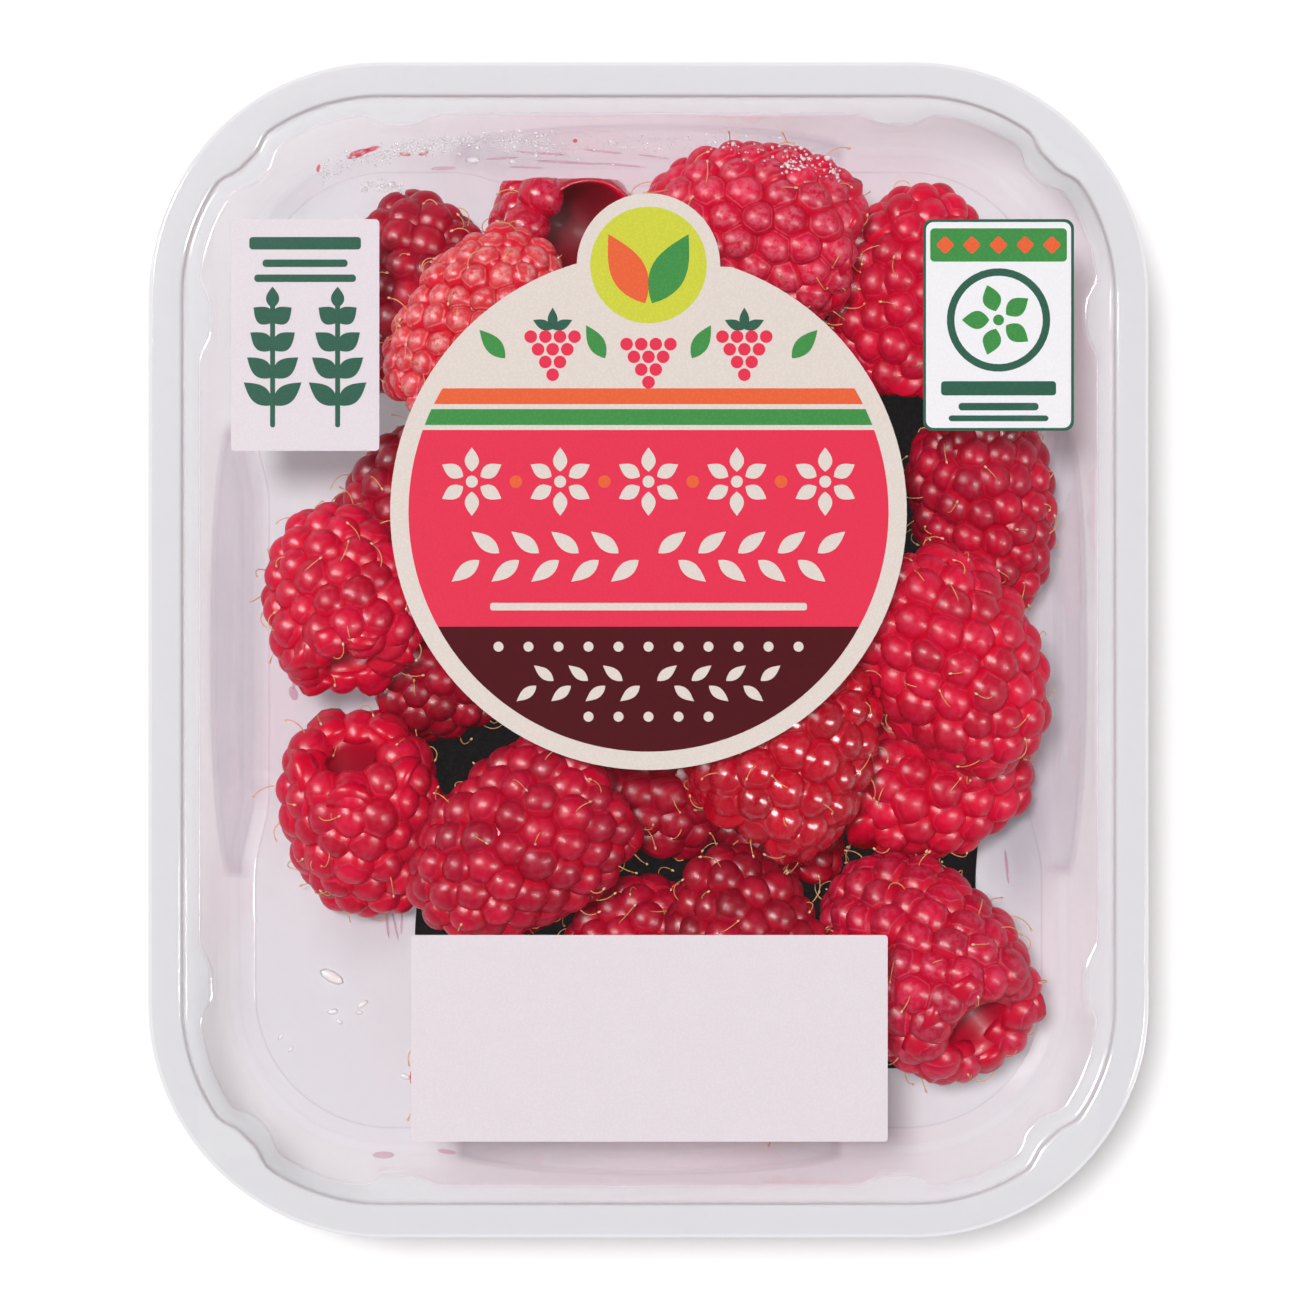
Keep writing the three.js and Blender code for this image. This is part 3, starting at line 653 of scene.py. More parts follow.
def rounded_box(x, y, width, height, radius, turn=0.0):
    right, top = width / 2 - radius, height / 2 - radius
    outline = []
    for quarter, (across, up) in enumerate([(right, top), (-right, top), (-right, -top), (right, -top)]):
        outline += circle(across, up, radius, 90 * quarter, 90 * quarter + 90, 6)
    return turned_outline(x, y, outline, turn)


def leaf(x, y, length, width, turn, steps=14):
    """A pointed leaf that starts at x, y."""
    shares = np.linspace(0, 1, steps)
    half = width / 2 * np.sin(np.pi * shares ** 0.85)
    upper = list(zip(shares * length, half))
    lower = list(zip(shares[-2:0:-1] * length, -half[-2:0:-1]))
    return turned_outline(x, y, upper + lower, turn)


def add_print(name, outlines, printed, level, replaced=()):
    """Thin plates of ink on the film, one for each outline, following its waves."""
    mesh = bmesh.new()
    for outline in outlines:
        mesh.faces.new([mesh.verts.new((x, y, 0)) for x, y in outline])
    bmesh.ops.recalc_face_normals(mesh, faces=mesh.faces[:])
    for face in mesh.faces:
        if face.normal.z < 0:
            face.normal_flip()
    for axis, reach in ((0, HALF_WIDTH), (1, HALF_LENGTH)):
        for line in np.arange(-reach, reach, PRINT_GRID):
            point, normal = [0.0] * 3, [0.0] * 3
            point[axis], normal[axis] = line, 1
            parts = mesh.verts[:] + mesh.edges[:] + mesh.faces[:]
            bmesh.ops.bisect_plane(mesh, geom=parts, plane_co=point, plane_no=normal)
    bmesh.ops.triangulate(mesh, faces=mesh.faces[:])
    made = bmesh.ops.extrude_face_region(mesh, geom=mesh.faces[:])
    top = {part for part in made["geom"] if isinstance(part, bmesh.types.BMVert)}
    for vertex in mesh.verts:
        base = FILM_TOP + float(film_height(vertex.co.x, vertex.co.y)) + level * INK
        vertex.co.z = base + (INK if vertex in top else INK_LIFT)
    bmesh.ops.recalc_face_normals(mesh, faces=mesh.faces[:])
    mesh.verts.index_update()
    points = [tuple(vertex.co) for vertex in mesh.verts]
    faces = [[vertex.index for vertex in face.verts] for face in mesh.faces]
    mesh.free()
    add_piece(name, points, faces, *printed, replaced, smooth=False)


def ink(name, colour, other, see_through, tint):
    """Printed ink: a fine uneven dot of a second shade, a faint grain and a little see-through."""
    material, tree, shader = new_material(name)
    pattern = {"Vector": place_of(tree), "Scale": 1 / (INK_DOT_PITCH * MM)}
    dots = add_node(tree, "ShaderNodeTexVoronoi", pattern)
    fine = spread(tree, dots.outputs["Distance"], 0.15, 0.6)
    cloudy = noise(tree, INK_CLOUDS, 2)
    share = times(tree, plus(tree, times(tree, fine, 0.6), times(tree, cloudy, 0.6)), 0.8)
    base = blend_colours(tree, share, colour, other)
    set_inputs(tree, shader, {"Base Color": base, "Roughness": 0.42, "Specular IOR Level": 0.3})
    clear = add_node(tree, "ShaderNodeBsdfTransparent", {"Color": tint})
    solid = spread(tree, cloudy, 0.2, 0.8, (1 - see_through) * 0.95, 1 - see_through)
    set_surface(tree, blend_shaders(tree, solid, clear, shader))
    return material


BADGE_X, BADGE_Y, BADGE_RADIUS, BADGE_BORDER = 0, 16.6, 31, 2.2
TAB_ABOVE, TAB_RADIUS, TAB_BORDER = 29.6, 8.6, 1.6
BANDS = {
    "badge_red_field": "red",
    "badge_dark_zone": "dark_red",
    "badge_green_band": "green",
    "badge_orange_band": "orange",
}


def chord_band(radius, low, high, steps=48):
    """The part of a circle about the badge's middle between two heights."""
    lowest = math.degrees(math.asin(max(low / radius, -1)))
    highest = math.degrees(math.asin(min(high / radius, 1)))
    right = circle(BADGE_X, BADGE_Y, radius, lowest, highest, steps)
    left = circle(BADGE_X, BADGE_Y, radius, 180 - highest, 180 - lowest, steps)
    outline = right + left
    return [point for which, point in enumerate(outline) if math.dist(point, outline[which - 1]) > 1e-6]


def badge_outline():
    across = (BADGE_RADIUS ** 2 + TAB_ABOVE ** 2 - TAB_RADIUS ** 2) / (2 * TAB_ABOVE)
    half = math.degrees(math.acos(across / BADGE_RADIUS))
    tab_half = math.degrees(math.asin(BADGE_RADIUS * math.sin(math.radians(half)) / TAB_RADIUS))
    disc = circle(BADGE_X, BADGE_Y, BADGE_RADIUS, 90 + half, 450 - half, 120)
    tab = circle(BADGE_X, BADGE_Y + TAB_ABOVE, TAB_RADIUS, -90 + tab_half, 270 - tab_half, 40)
    return disc[:-1] + tab[:-1]


def box_outline(node, radius):
    low, high = corners_mm(node)
    middle = (low + high) / 2
    size = high - low
    return rounded_box(middle[0], middle[1], size[0], size[1], radius)


def berry_icon(x, y, pitch):
    """A plain heap of dots in rows of four, three, two and one."""
    dots = []
    for row in range(4):
        for place in range(4 - row):
            across = (place - (3 - row) / 2) * pitch
            dots.append(circle(x + across, y - row * pitch * HEX_ROW, pitch * 0.44, steps=18))
    return dots


def flower(x, y, petals, length, width, start=1.2):
    """Petals round a middle, with a dot in it."""
    found = [circle(x, y, start * 0.6, steps=16)]
    for petal in range(petals):
        turn = 360 * (petal + 0.5) / petals
        angle = math.radians(turn)
        found.append(leaf(x + start * math.cos(angle), y + start * math.sin(angle), length, width, turn))
    return found


def garland(x, y, length, leaves, size, lean=38):
    """A row of leaves that lean to one side and the other of a middle line, away from its middle."""
    found = []
    for which in range(leaves):
        across = (which - (leaves - 1) / 2) * length / leaves
        side = 1 if which % 2 else -1
        turn = lean * side if across >= 0 else 180 - lean * side
        found.append(leaf(x + across, y + side * size * 0.1, size, size * 0.42, turn))
    return found


def dot_row(x, y, pitch, count, radius):
    return [circle(x + (which - (count - 1) / 2) * pitch, y, radius) for which in range(count)]


def make_badge(inks):
    add_print("badge_disc", [badge_outline()], inks["cream"], 0, ["badge_border"])
    for node, key in BANDS.items():
        low, high = corners_mm(node)
        band = chord_band(BADGE_RADIUS - BADGE_BORDER, low[1] - BADGE_Y, high[1] - BADGE_Y)
        add_print(f"{node}_ink", [band], inks[key], 1, [node])
    add_print("badge_bar_ink", [box_outline("badge_bar", 0.3)], inks["cream"], 2, ["badge_bar"])
    top = BADGE_Y + TAB_ABOVE
    dot = circle(BADGE_X, top, TAB_RADIUS - TAB_BORDER)
    add_print("badge_tab_dot_ink", [dot], inks["yellow"], 1, ["badge_tab_dot"])
    add_print("badge_tab_leaves", [leaf(BADGE_X - 0.4, top - 4.6, 9.4, 4.2, 118)], inks["orange"], 2)
    add_print("badge_tab_leaf", [leaf(BADGE_X + 0.4, top - 4.6, 9.4, 4.2, 62)], inks["green"], 2)
    make_badge_motifs(inks)


def make_badge_motifs(inks):
    """Plain fruit, flowers, leaves and dots: on the cream, on the red field and on the dark zone."""
    fruit_y, flower_y = BADGE_Y + 21, BADGE_Y + 3.6
    fruit = [dot for place, down in ((-1, 0), (0, 0.9), (1, 0))
             for dot in berry_icon(BADGE_X + place * 11.5, fruit_y - down, 1.75)]
    add_print("badge_fruit_dots", fruit, inks["red"], 1)
    crowns = [leaf(BADGE_X + place * 11.5, fruit_y + 0.9, 2.6, 1.2, turn)
              for place in (-1, 1) for turn in (25, 90, 155)]
    add_print("badge_fruit_leaves", crowns, inks["dark_green"], 1)
    sprigs = [leaf(BADGE_X + side * across, fruit_y - 2.6, 4.6, 2, 90 - side * lean)
              for side in (-1, 1) for across, lean in ((5.2, 30), (17.2, 42))]
    add_print("badge_cream_leaves", sprigs, inks["green"], 1)
    flowers = [part for place in range(-2, 3)
               for part in flower(BADGE_X + place * 10.6, flower_y, 6, 2.9, 1.7)]
    add_print("badge_flowers", flowers, inks["cream"], 2)
    add_print("badge_flower_dots", dot_row(BADGE_X, flower_y, 10.6, 4, 0.75), inks["orange"], 2)
    add_print("badge_garland", garland(BADGE_X, BADGE_Y - 5.4, 43, 18, 4.2), inks["cream"], 2)
    low = garland(BADGE_X, BADGE_Y - 20.6, 29, 14, 3)
    low += dot_row(BADGE_X, BADGE_Y - 16.2, 3.6, 11, 0.6)
    low += dot_row(BADGE_X, BADGE_Y - 24.6, 3.6, 5, 0.6)
    add_print("badge_dark_motifs", low, inks["cream"], 2)


def middle_of(node):
    low, high = corners_mm(node)
    return (low + high)[:2] / 2


def stripe_rows(x, y, rows):
    """Plain bars, each given by how far up it lies, its width and its height."""
    return [rounded_box(x, y + up, width, height, STRIPE_RADIUS) for up, width, height in rows]


def make_left_panel(inks):
    x, y = middle_of("left_panel")
    add_print("left_panel_ink", [box_outline("left_panel", 0.5)], inks["white"], 0, ["left_panel"])
    stripes = stripe_rows(x, y, ((11, 13.4, 1.5), (8.6, 10.2, 0.9), (6.8, 12.2, 0.9)))
    add_print("left_panel_stripes", stripes, inks["dark_green"], 1)
    stems = [rounded_box(x + side * 3.9, y - 3.6, 0.6, 15, 0.3) for side in (-1, 1)]
    add_print("left_panel_stems", stems, inks["dark_green"], 1)
    leaves = [leaf(x + side * 3.9, y - 8.4 + 3.3 * row, 4.4 - 0.5 * row, 2.2, turn)
              for side in (-1, 1) for row in range(4) for turn in (38, 142)]
    leaves += [leaf(x + side * 3.9, y + 3.2, 2.6, 1.6, 90) for side in (-1, 1)]
    add_print("left_panel_leaves", leaves, inks["dark_green"], 2)


def make_right_panel(inks):
    x, y = middle_of("right_panel")
    field = box_outline("right_panel_field", 0.9)
    add_print("right_panel_ink", [box_outline("right_panel", 1.1)], inks["dark_green"], 0, ["right_panel"])
    add_print("right_panel_field_ink", [field], inks["panel_field"], 1, ["right_panel_field"])
    add_print("right_panel_strip", [rounded_box(x, y + 9.6, 16.4, 4, 0.5)], inks["green"], 2)
    marks = [rounded_box(x + 3.2 * place, y + 9.6, 1.6, 1.6, 0.3, 45) for place in range(-2, 3)]
    add_print("right_panel_marks", marks, inks["orange"], 3)
    add_print("right_panel_ring", [circle(x, y + 0.6, 6.2)], inks["dark_green"], 2)
    add_print("right_panel_ring_field", [circle(x, y + 0.6, 5.3)], inks["panel_field"], 3)
    add_print("right_panel_petals", flower(x, y + 0.6, 5, 3.3, 2.2, 1.1), inks["green"], 4)
    stripes = stripe_rows(x, y, ((-7.6, 13.8, 1.7), (-9.8, 9.6, 0.9), (-11.2, 12, 0.7)))
    add_print("right_panel_stripes", stripes, inks["dark_green"], 2)


def make_print():
    inks = {}
    for key, (slot, colour, other, see_through) in INKS.items():
        tint = DARK_INK_TINT if key == "dark_red" else (1, 1, 1, 1)
        inks[key] = ink(f"{key}_ink", linear(*colour), linear(*other), see_through, tint), slot
    make_badge(inks)
    make_left_panel(inks)
    make_right_panel(inks)
    add_print("date_panel_ink", [box_outline("date_panel", 0.4)], inks["white"], 0, ["date_panel"])


# Drops and juice

DROP_SIDES = 8
DROP_LEVELS = ((0.45, 0.85), (0.8, 0.5), (1.0, 0.0))

# A drop's gap from what it hangs or lies on, and how much further from the middle the floor's drops
# lie than they seem to from the camera
DROP_GAP = 0.005
FLOOR_DEPTH = 1.036

# Fine mist under the film: x and y of each patch's middle, its half sizes, its turn and how many
# drops it has
MIST = [
    (-22, 60.9, 11, 1.3, 4, 420), (-32, 55.7, 2.6, 0.8, 0, 70), (19.6, 58.4, 3.6, 1.5, -8, 80),
    (2, 60.6, 18, 1.5, 0, 150), (-36.6, 58.4, 3.4, 1.2, 25, 70),
]

# Larger drops under the film and on the floor: x and y, length, width and turn
FILM_DROPS = [
    (-21.1, 58.8, 1.9, 1.0, 0), (-30.8, 55.8, 1.1, 0.8, 20), (-16.3, 58.6, 0.9, 0.7, 0),
    (-29.2, 59.6, 0.8, 0.6, 0), (-26.3, 60.2, 0.9, 0.7, 0), (21.5, 59.1, 0.9, 0.7, 0),
]
# The floor's drops lie where glints are, and their white haze paints the glints
FLOOR_GLINT_DROPS = [
    (-38, -39.2, 3.4, 1.5, -28), (-37.9, -43.4, 1.4, 0.8, 10), (-37.1, -44.6, 0.9, 0.6, -40),
    (-34.3, -42.5, 1.6, 0.7, 35), (-34.7, -43.5, 0.9, 0.5, 0), (-29.2, -51.2, 1.3, 0.8, -20),
    (-44.1, -46.4, 1.1, 0.5, 60), (-42.9, -47.9, 0.9, 0.5, 50),
]

# Juice: x and y, length, width and turn of each spot and thin streak
FILM_JUICE = [
    (-34.6, 59.7, 2.8, 0.8, 14), (-33.2, 60.1, 2.2, 0.6, 16), (-35.2, 59.2, 2.0, 0.45, 12),
    (-29.2, 59.5, 1.4, 0.5, -10), (-39.6, 57.8, 0.5, 1.0, -14), (-8.8, 61.1, 0.6, 0.5, 0),
    (-27, 59.6, 1.3, 0.5, 14),
]
FILM_STREAKS = [
    (-12.9, 59.6, 6.5, 0.32, -4), (-9.6, 58.5, 8.4, 0.36, -3), (-5.4, 59.8, 5, 0.28, -6),
    (-14.6, 57.9, 4.4, 0.26, -2), (-3.4, 58.2, 6.4, 0.3, -5), (-17.6, 59, 4.2, 0.3, 3),
    (0.6, 59.2, 4, 0.24, -8), (-24.6, 57.8, 3.2, 0.5, 2),
]
FLOOR_JUICE = [
    (-31.4, -32.2, 5.2, 0.4, -84), (-30.4, -33, 4.2, 0.32, -78), (-29.6, -32.6, 3.2, 0.3, -92),
    (-31.8, -60.6, 2.8, 0.9, 0), (-24.2, -60.2, 2.4, 0.6, -8), (-42.4, -2.8, 4.4, 0.5, -96),
    (-42.6, -5.2, 1.9, 1.1, -70), (43, -26, 4.4, 0.4, -84),
]


def lens(x, y, z, length, width, turn, height):
    """A low round drop on a level, or under it where its height is negative."""
    angles = np.arange(DROP_SIDES) * 2 * math.pi / DROP_SIDES
    across, along = math.cos(math.radians(turn)), math.sin(math.radians(turn))
    rings = []
    for out, up in DROP_LEVELS:
        a, b = np.cos(angles) * out * length / 2, np.sin(angles) * out * width / 2
        flat = np.column_stack([x + a * across - b * along, y + a * along + b * across])
        rings.append(np.column_stack([flat, np.full(DROP_SIDES, z + up * height)]))
    points, faces = skin_of(rings, [x, y, z + height], [x, y, z])
    return points, faces if height < 0 else [face[::-1] for face in faces]


def add_drops(name, drops, level, height, material, slot):
    """Joined drops on or under a level; height is how thick they are beside their width."""
    points, faces = [], []
    count = 0
    for x, y, length, width, turn in drops:
        drop_points, drop_faces = lens(x, y, level(x, y), length, width, turn, height * min(length, width))
        points.append(drop_points)
        faces += [[point + count for point in face] for face in drop_faces]
        count += len(drop_points)
    add_piece(name, np.vstack(points), faces, material, slot)


def mist_drops():
    scatter = np.random.default_rng(5)
    drops = []
    for x, y, half_length, half_width, turn, count in MIST:
        for _ in range(count):
            a = scatter.uniform(-1, 1) * half_length
            b = np.clip(scatter.normal(0, 0.45), -1, 1) * half_width
            b -= (a / half_length) ** 2 * half_width * 0.6
            size = 0.16 + scatter.exponential(0.09)
            [place] = turned_outline(x, y, [(a, b)], turn)
            drops.append((*place, size * scatter.uniform(0.9, 1.4), size, scatter.uniform(-20, 20)))
    return drops


def moved_to_floor(drops):
    return [(x * FLOOR_DEPTH, y * FLOOR_DEPTH, *rest) for x, y, *rest in drops]


def stained(name, tint):
    """Juice that lets a colour through, and throws a shadow of the same colour."""
    return clear_plastic(name, tint, tint, JUICE_HAZE, (tint, tint), 0.1)


def make_wet_things():
    def under_film(x, y):
        return FILM_TOP - FILM_THICKNESS + float(film_height(x, y)) - DROP_GAP

    def on_floor(x, y):
        return FLOOR_TOP + DROP_GAP

    shadow = [(0.95, 0.9, 0.92, 1)] * 2
    dew_tints = (0.98, 0.94, 0.955, 1), (0.86, 0.66, 0.72, 1)
    dew = clear_plastic("dew", *dew_tints, DEW_HAZE, shadow, 0.1, WHITE_HAZE)
    water_tints = (0.99, 0.99, 1, 1), (0.96, 0.95, 0.97, 1)
    # Water drops on the floor, whose white haze paints glints
    water_with_painted_glints = clear_plastic("water_with_painted_glints", *water_tints, WATER_GLINT_HAZE, shadow, 0.2, WHITE_HAZE)
    juice = stained("juice", (0.97, 0.5, 0.56, 1))
    thin_juice = stained("thin_juice", (0.97, 0.84, 0.88, 1))
    add_drops("film_mist", mist_drops(), under_film, -0.4, dew, "clear_film")
    add_drops("film_drops", FILM_DROPS, under_film, -0.35, dew, "clear_film")
    add_drops("floor_drops_with_painted_glints", moved_to_floor(FLOOR_GLINT_DROPS), on_floor, 0.35, water_with_painted_glints, "clear_tray")
    add_drops("film_juice", FILM_JUICE, under_film, -0.1, juice, "raspberry")
    add_drops("film_thin_juice", FILM_STREAKS, under_film, -0.1, thin_juice, "raspberry")
    add_drops("floor_juice", moved_to_floor(FLOOR_JUICE), on_floor, 0.1, thin_juice, "raspberry")


# Pad

PAD_PITCH = 0.55
DIMPLE_PITCH = 2.1
DIMPLE_DEPTH = 0.22
DIMPLE_EDGE = (0.25, 0.8)
PAD_WAVES = 0.08
PAD_SINK = 0.1


def pad_height(x, y):
    """The pad's top: rows of small dimples, each second row moved on by half, and soft waves."""
    row = np.round(y / (DIMPLE_PITCH * HEX_ROW))
    shift = (row % 2) * DIMPLE_PITCH / 2
    across = (x - shift) / DIMPLE_PITCH
    gap = np.hypot((across - np.round(across)) * DIMPLE_PITCH, y - row * DIMPLE_PITCH * HEX_ROW)
    dimple = 1 - smoothstep(gap, *DIMPLE_EDGE)
    waves = np.sin(x / 9 + 0.5 * np.sin(y / 14)) * np.sin(y / 12)
    return -DIMPLE_DEPTH * dimple + PAD_WAVES * waves - PAD_SINK


def pad_material():
    """Dark fibres with brown patches and lighter strands."""
    material, tree, shader = new_material("dark_embossed_pad")
    fibres = noise(tree, 0.35, 5, 0.65)
    brown = spread(tree, noise(tree, 3, 4), 0.45, 0.75)
    colour = blend_colours(tree, brown, linear(9, 4, 5), linear(24, 12, 11))
    colour = blend_colours(tree, spread(tree, fibres, 0.6, 0.75), colour, linear(48, 29, 25))
    set_inputs(tree, shader, {
        "Base Color": colour,
        "Roughness": spread(tree, fibres, 0.3, 0.7, 0.7, 0.95),
        "Normal": bump(tree, fibres, 0.5, 0.12),
        "Specular IOR Level": 0.12,
    })
    return material


def make_pad():
    across = np.linspace(-1, 1, round(2 * PAD_HALF[0] / PAD_PITCH))
    along = np.linspace(-1, 1, round(2 * PAD_HALF[1] / PAD_PITCH))
    u, v = np.meshgrid(across, along)
    x, y = u * PAD_HALF[0], v * PAD_HALF[1]
    in_from_edge = np.minimum(PAD_HALF[0] - np.abs(x), PAD_HALF[1] - np.abs(y))
    drop = (1 - smoothstep(in_from_edge, 0, 1.1)) * (PAD_TOP - FLOOR_TOP - 0.15)
    top = PAD_TOP + pad_height(x, y) * smoothstep(in_from_edge, 0.3, 1.5) - drop
    wander = 0.18 * (np.sin(y / 6) + np.sin(y / 2.3)) * (np.abs(u) == 1)
    upper = np.column_stack([(x + wander * u * -1).ravel(), y.ravel(), top.ravel()]) + [*PAD_MIDDLE[:2], 0]
    rows, columns = x.shape
    number = np.arange(rows * columns).reshape(rows, columns)
    quads = np.stack([number[:-1, :-1], number[:-1, 1:], number[1:, 1:], number[1:, :-1]], -1).reshape(-1, 4)
    rim = np.concatenate([number[0, :-1], number[:-1, -1], number[-1, :0:-1], number[:0:-1, 0]])
    under = upper[rim] * [1, 1, 0] + [0, 0, FLOOR_TOP + 0.02]
    base = len(upper)
    steps = np.arange(len(rim))
    following = (steps + 1) % len(rim)
    walls = np.column_stack([rim, base + steps, base + following, rim[following]])
    points = np.vstack([upper, under])
    faces = quads.tolist() + walls.tolist() + [(base + steps)[::-1].tolist()]
    add_piece("absorbent_pad", points, faces, pad_material(), "absorbent_pad", ["pad"])


# Where the raspberries lie

def direction(yaw, tilt):
    turn, rise = math.radians(yaw), math.radians(tilt)
    return [math.cos(rise) * math.cos(turn), math.cos(rise) * math.sin(turn), math.sin(rise)]


def balls_of(berry):
    _, _, _, yaw, tilt, length, width, _ = berry
    way = direction(yaw, tilt)
    return [([part * (share - 0.5) * length for part in way], fill * width / 2) for share, fill in BALLS]


def kept_inside(at, r):
    """The step that brings a ball back inside the tray's walls and between its floor and the film."""
    over_pad = (abs(at[0] - PAD_MIDDLE[0]) < PAD_HALF[0] + r / 2
                and abs(at[1] - PAD_MIDDLE[1]) < PAD_HALF[1] + r / 2)
    lowest = (PAD_TOP if over_pad else FLOOR_TOP) + CLEARANCE + r
    highest = TRAY_HEIGHT - CLEARANCE - r
    across = math.copysign(max(abs(at[0]) - HALF_WIDTH + CORNER_RADIUS, 0), at[0])
    along = math.copysign(max(abs(at[1]) - HALF_LENGTH + CORNER_RADIUS, 0), at[1])
    reach = math.hypot(across, along)
    most = CORNER_RADIUS - wall_inset(at[2] - r) - r - CLEARANCE
    back = (most - reach) / reach if reach > most else 0
    return across * back, along * back, min(max(at[2], lowest), highest) - at[2]


def push_apart(one, other):
    """Two raspberries that meet push each other apart by half of what they share."""
    a_at, b_at = one["at"], other["at"]
    if math.dist(a_at, b_at) > FURTHEST_MEETING:
        return
    for (ax, ay, az), a_radius in one["balls"]:
        for (bx, by, bz), b_radius in other["balls"]:
            x = a_at[0] + ax - b_at[0] - bx
            y = a_at[1] + ay - b_at[1] - by
            z = a_at[2] + az - b_at[2] - bz
            size = math.sqrt(x * x + y * y + z * z)
            shared = (a_radius + b_radius) * SQUEEZE - size
            if shared > 0:
                step = shared / size / 2
                for axis, part in enumerate((x, y, z)):
                    a_at[axis] += part * step
                    b_at[axis] -= part * step


def settled():
    """Where each raspberry comes to lie: they fall and push each other apart, each kept near its place."""
    lying = [{"home": berry[:2], "at": [float(part) for part in berry[:3]], "balls": balls_of(berry)}
             for berry in BERRIES]
    for _ in range(ROUNDS):
        for one in lying:
            for axis in (0, 1):
                one["at"][axis] += (one["home"][axis] - one["at"][axis]) * HOME_PULL
            one["at"][2] -= FALL
        for which, one in enumerate(lying):
            for other in lying[:which]:
                push_apart(one, other)
        for one in lying:
            for off, radius in one["balls"]:
                at = [part + place for part, place in zip(off, one["at"])]
                for axis, part in enumerate(kept_inside(at, radius)):
                    one["at"][axis] += part
    return [one["at"] for one in lying]


def pressed_inside(points, gap=0.12):
    """Points of soft fruit moved back from the film, the pad, the floor and the tray's walls."""
    x, y, z = points.T.copy()
    across = np.maximum(np.abs(x) - HALF_WIDTH + CORNER_RADIUS, 0) * np.sign(x)
    along = np.maximum(np.abs(y) - HALF_LENGTH + CORNER_RADIUS, 0) * np.sign(y)
    reach = np.hypot(across, along)
    on_short_side = np.where(across == 0, x / ARCH_HALF_SHORT_SIDE, NO_ARCH)
    beside = np.where(along == 0, y / ARCH_HALF_LONG_SIDE, on_short_side)
    most = CORNER_RADIUS - wall_inset(z) - arch_at(beside, np.maximum(z, 0)) * ARCH_REACH - gap
    most = most - np.maximum(BASE_FILLET + FLOOR_TOP - z, 0)
    back = np.where(reach > most, most / np.maximum(reach, 1e-6) - 1, 0)
    x += across * back
    y += along * back
    over_width = np.abs(x - PAD_MIDDLE[0]) < PAD_HALF[0] + gap
    over_length = np.abs(y - PAD_MIDDLE[1]) < PAD_HALF[1] + gap
    lowest = np.where(over_width & over_length, PAD_TOP, FLOOR_TOP) + gap
    highest = FILM_TOP - FILM_THICKNESS + film_height(x, y) - gap
    return np.column_stack([x, y, np.clip(z, lowest, highest)])


# Raspberries

DRUPELET = 4.4
DOME_SHARE = 0.575
DOME_RISE = 1.16
DOME_POWER = 2.05
DOME_SIDES = 16
DOME_RINGS = 6
CORE_DEPTH = 1.85
CORE_SIDES = 40
CORE_RINGS = 26
PITCH_SPREAD = (0.97, 1.05)
UNEVEN_SIZE = 0.06
UNEVEN_HEIGHT = 0.26
HEIGHT_LIMITS = (-0.6, 0.4)
LEAN_TO_TIP, LEAN_SPREAD = 0.08, 0.1
MOST_CURVE = 3
MOST_OVAL = 0.04

# Drupelets are this much of their usual size at the rim, and this much smaller at the tip
RIM_SIZE, TIP_LOSS = 1.06, 0.12

# How strong the pale line painted inside each drupelet's border is: a painted sheen
SHEEN_LINE_SHARE = 0.36
GOLDEN_ANGLE = math.pi * (3 - math.sqrt(5))

# The colours of each look, from 0 to 255: flesh, its darker tone, which also paints shade towards each
# drupelet's border, the painted glow of its creases, and its bloom, which also paints a sheen line. Then
# how strong the bloom is, how wet the skin is and how rough
BERRY_LOOKS = {
    "ripe": ((238, 0, 62), (196, 0, 44), (226, 0, 54), (238, 80, 122), 0.16, 0.1, 0.32),
    "deep": ((214, 0, 54), (170, 0, 40), (204, 0, 46), (220, 66, 104), 0.16, 0.1, 0.32),
    "dark": ((190, 0, 44), (146, 0, 30), (180, 0, 40), (200, 56, 92), 0.16, 0.1, 0.32),
    "pale": ((240, 74, 84), (222, 40, 56), (226, 20, 50), (246, 186, 180), 0.66, 0.1, 0.32),
    "bloomy": ((224, 0, 62), (186, 0, 46), (212, 0, 52), (238, 110, 146), 0.26, 0.1, 0.32),
    "wet": ((214, 0, 42), (178, 0, 30), (206, 0, 36), (230, 90, 110), 0.1, 0.6, 0.2),
    "torn": ((228, 0, 56), (190, 0, 42), (214, 0, 52), (230, 100, 134), 0.36, 0.3, 0.22),
    "frosty": ((236, 0, 66), (204, 0, 52), (222, 0, 54), (240, 130, 152), 0.46, 0.08, 0.36),
}

# The lowest two in the picture lie this much further under the date panel than their solids do
FURTHER_UNDER = {15: 1.8, 16: 2.2}

# The smooth hollow that the stalk leaves, with painted shade that darkens it inwards
HOLLOW_RINGS = 9
HOLLOW_SHADE_COLOUR = (0.16, 0.0, 0.008, 1)

# Raspberries whose hollow shows lie with their tips further down than their solids do
OPENED_TILT = {"torn": -72, "bloomy": -36, "folded": -24, "opened": -42}

# How large the drupelets of some raspberries are beside the others'
DRUPELET_SHARE = {"bloomy": 1.12, "wet": 1.14, "plump": 1.1, "opened": 1.12, "pale": 0.76}

# The torn raspberry: where it is cut off straight, and the way that its bare smooth side faces
TORN_EDGE_Y = 57.6
BARE_WAY = (0.5, 0.8)
BARE_FROM = 1.5

# The rim of a picked raspberry, from its hollow outwards: shares of its length and of half its width
RIM_PATH = [(0.15, 0.37), (0.05, 0.4), (0.0, 0.56), (0.03, 0.74)]
WIDE_RIM_PATH = [(0.1, 0.66), (0.02, 0.7), (0.0, 0.78), (0.04, 0.84)]


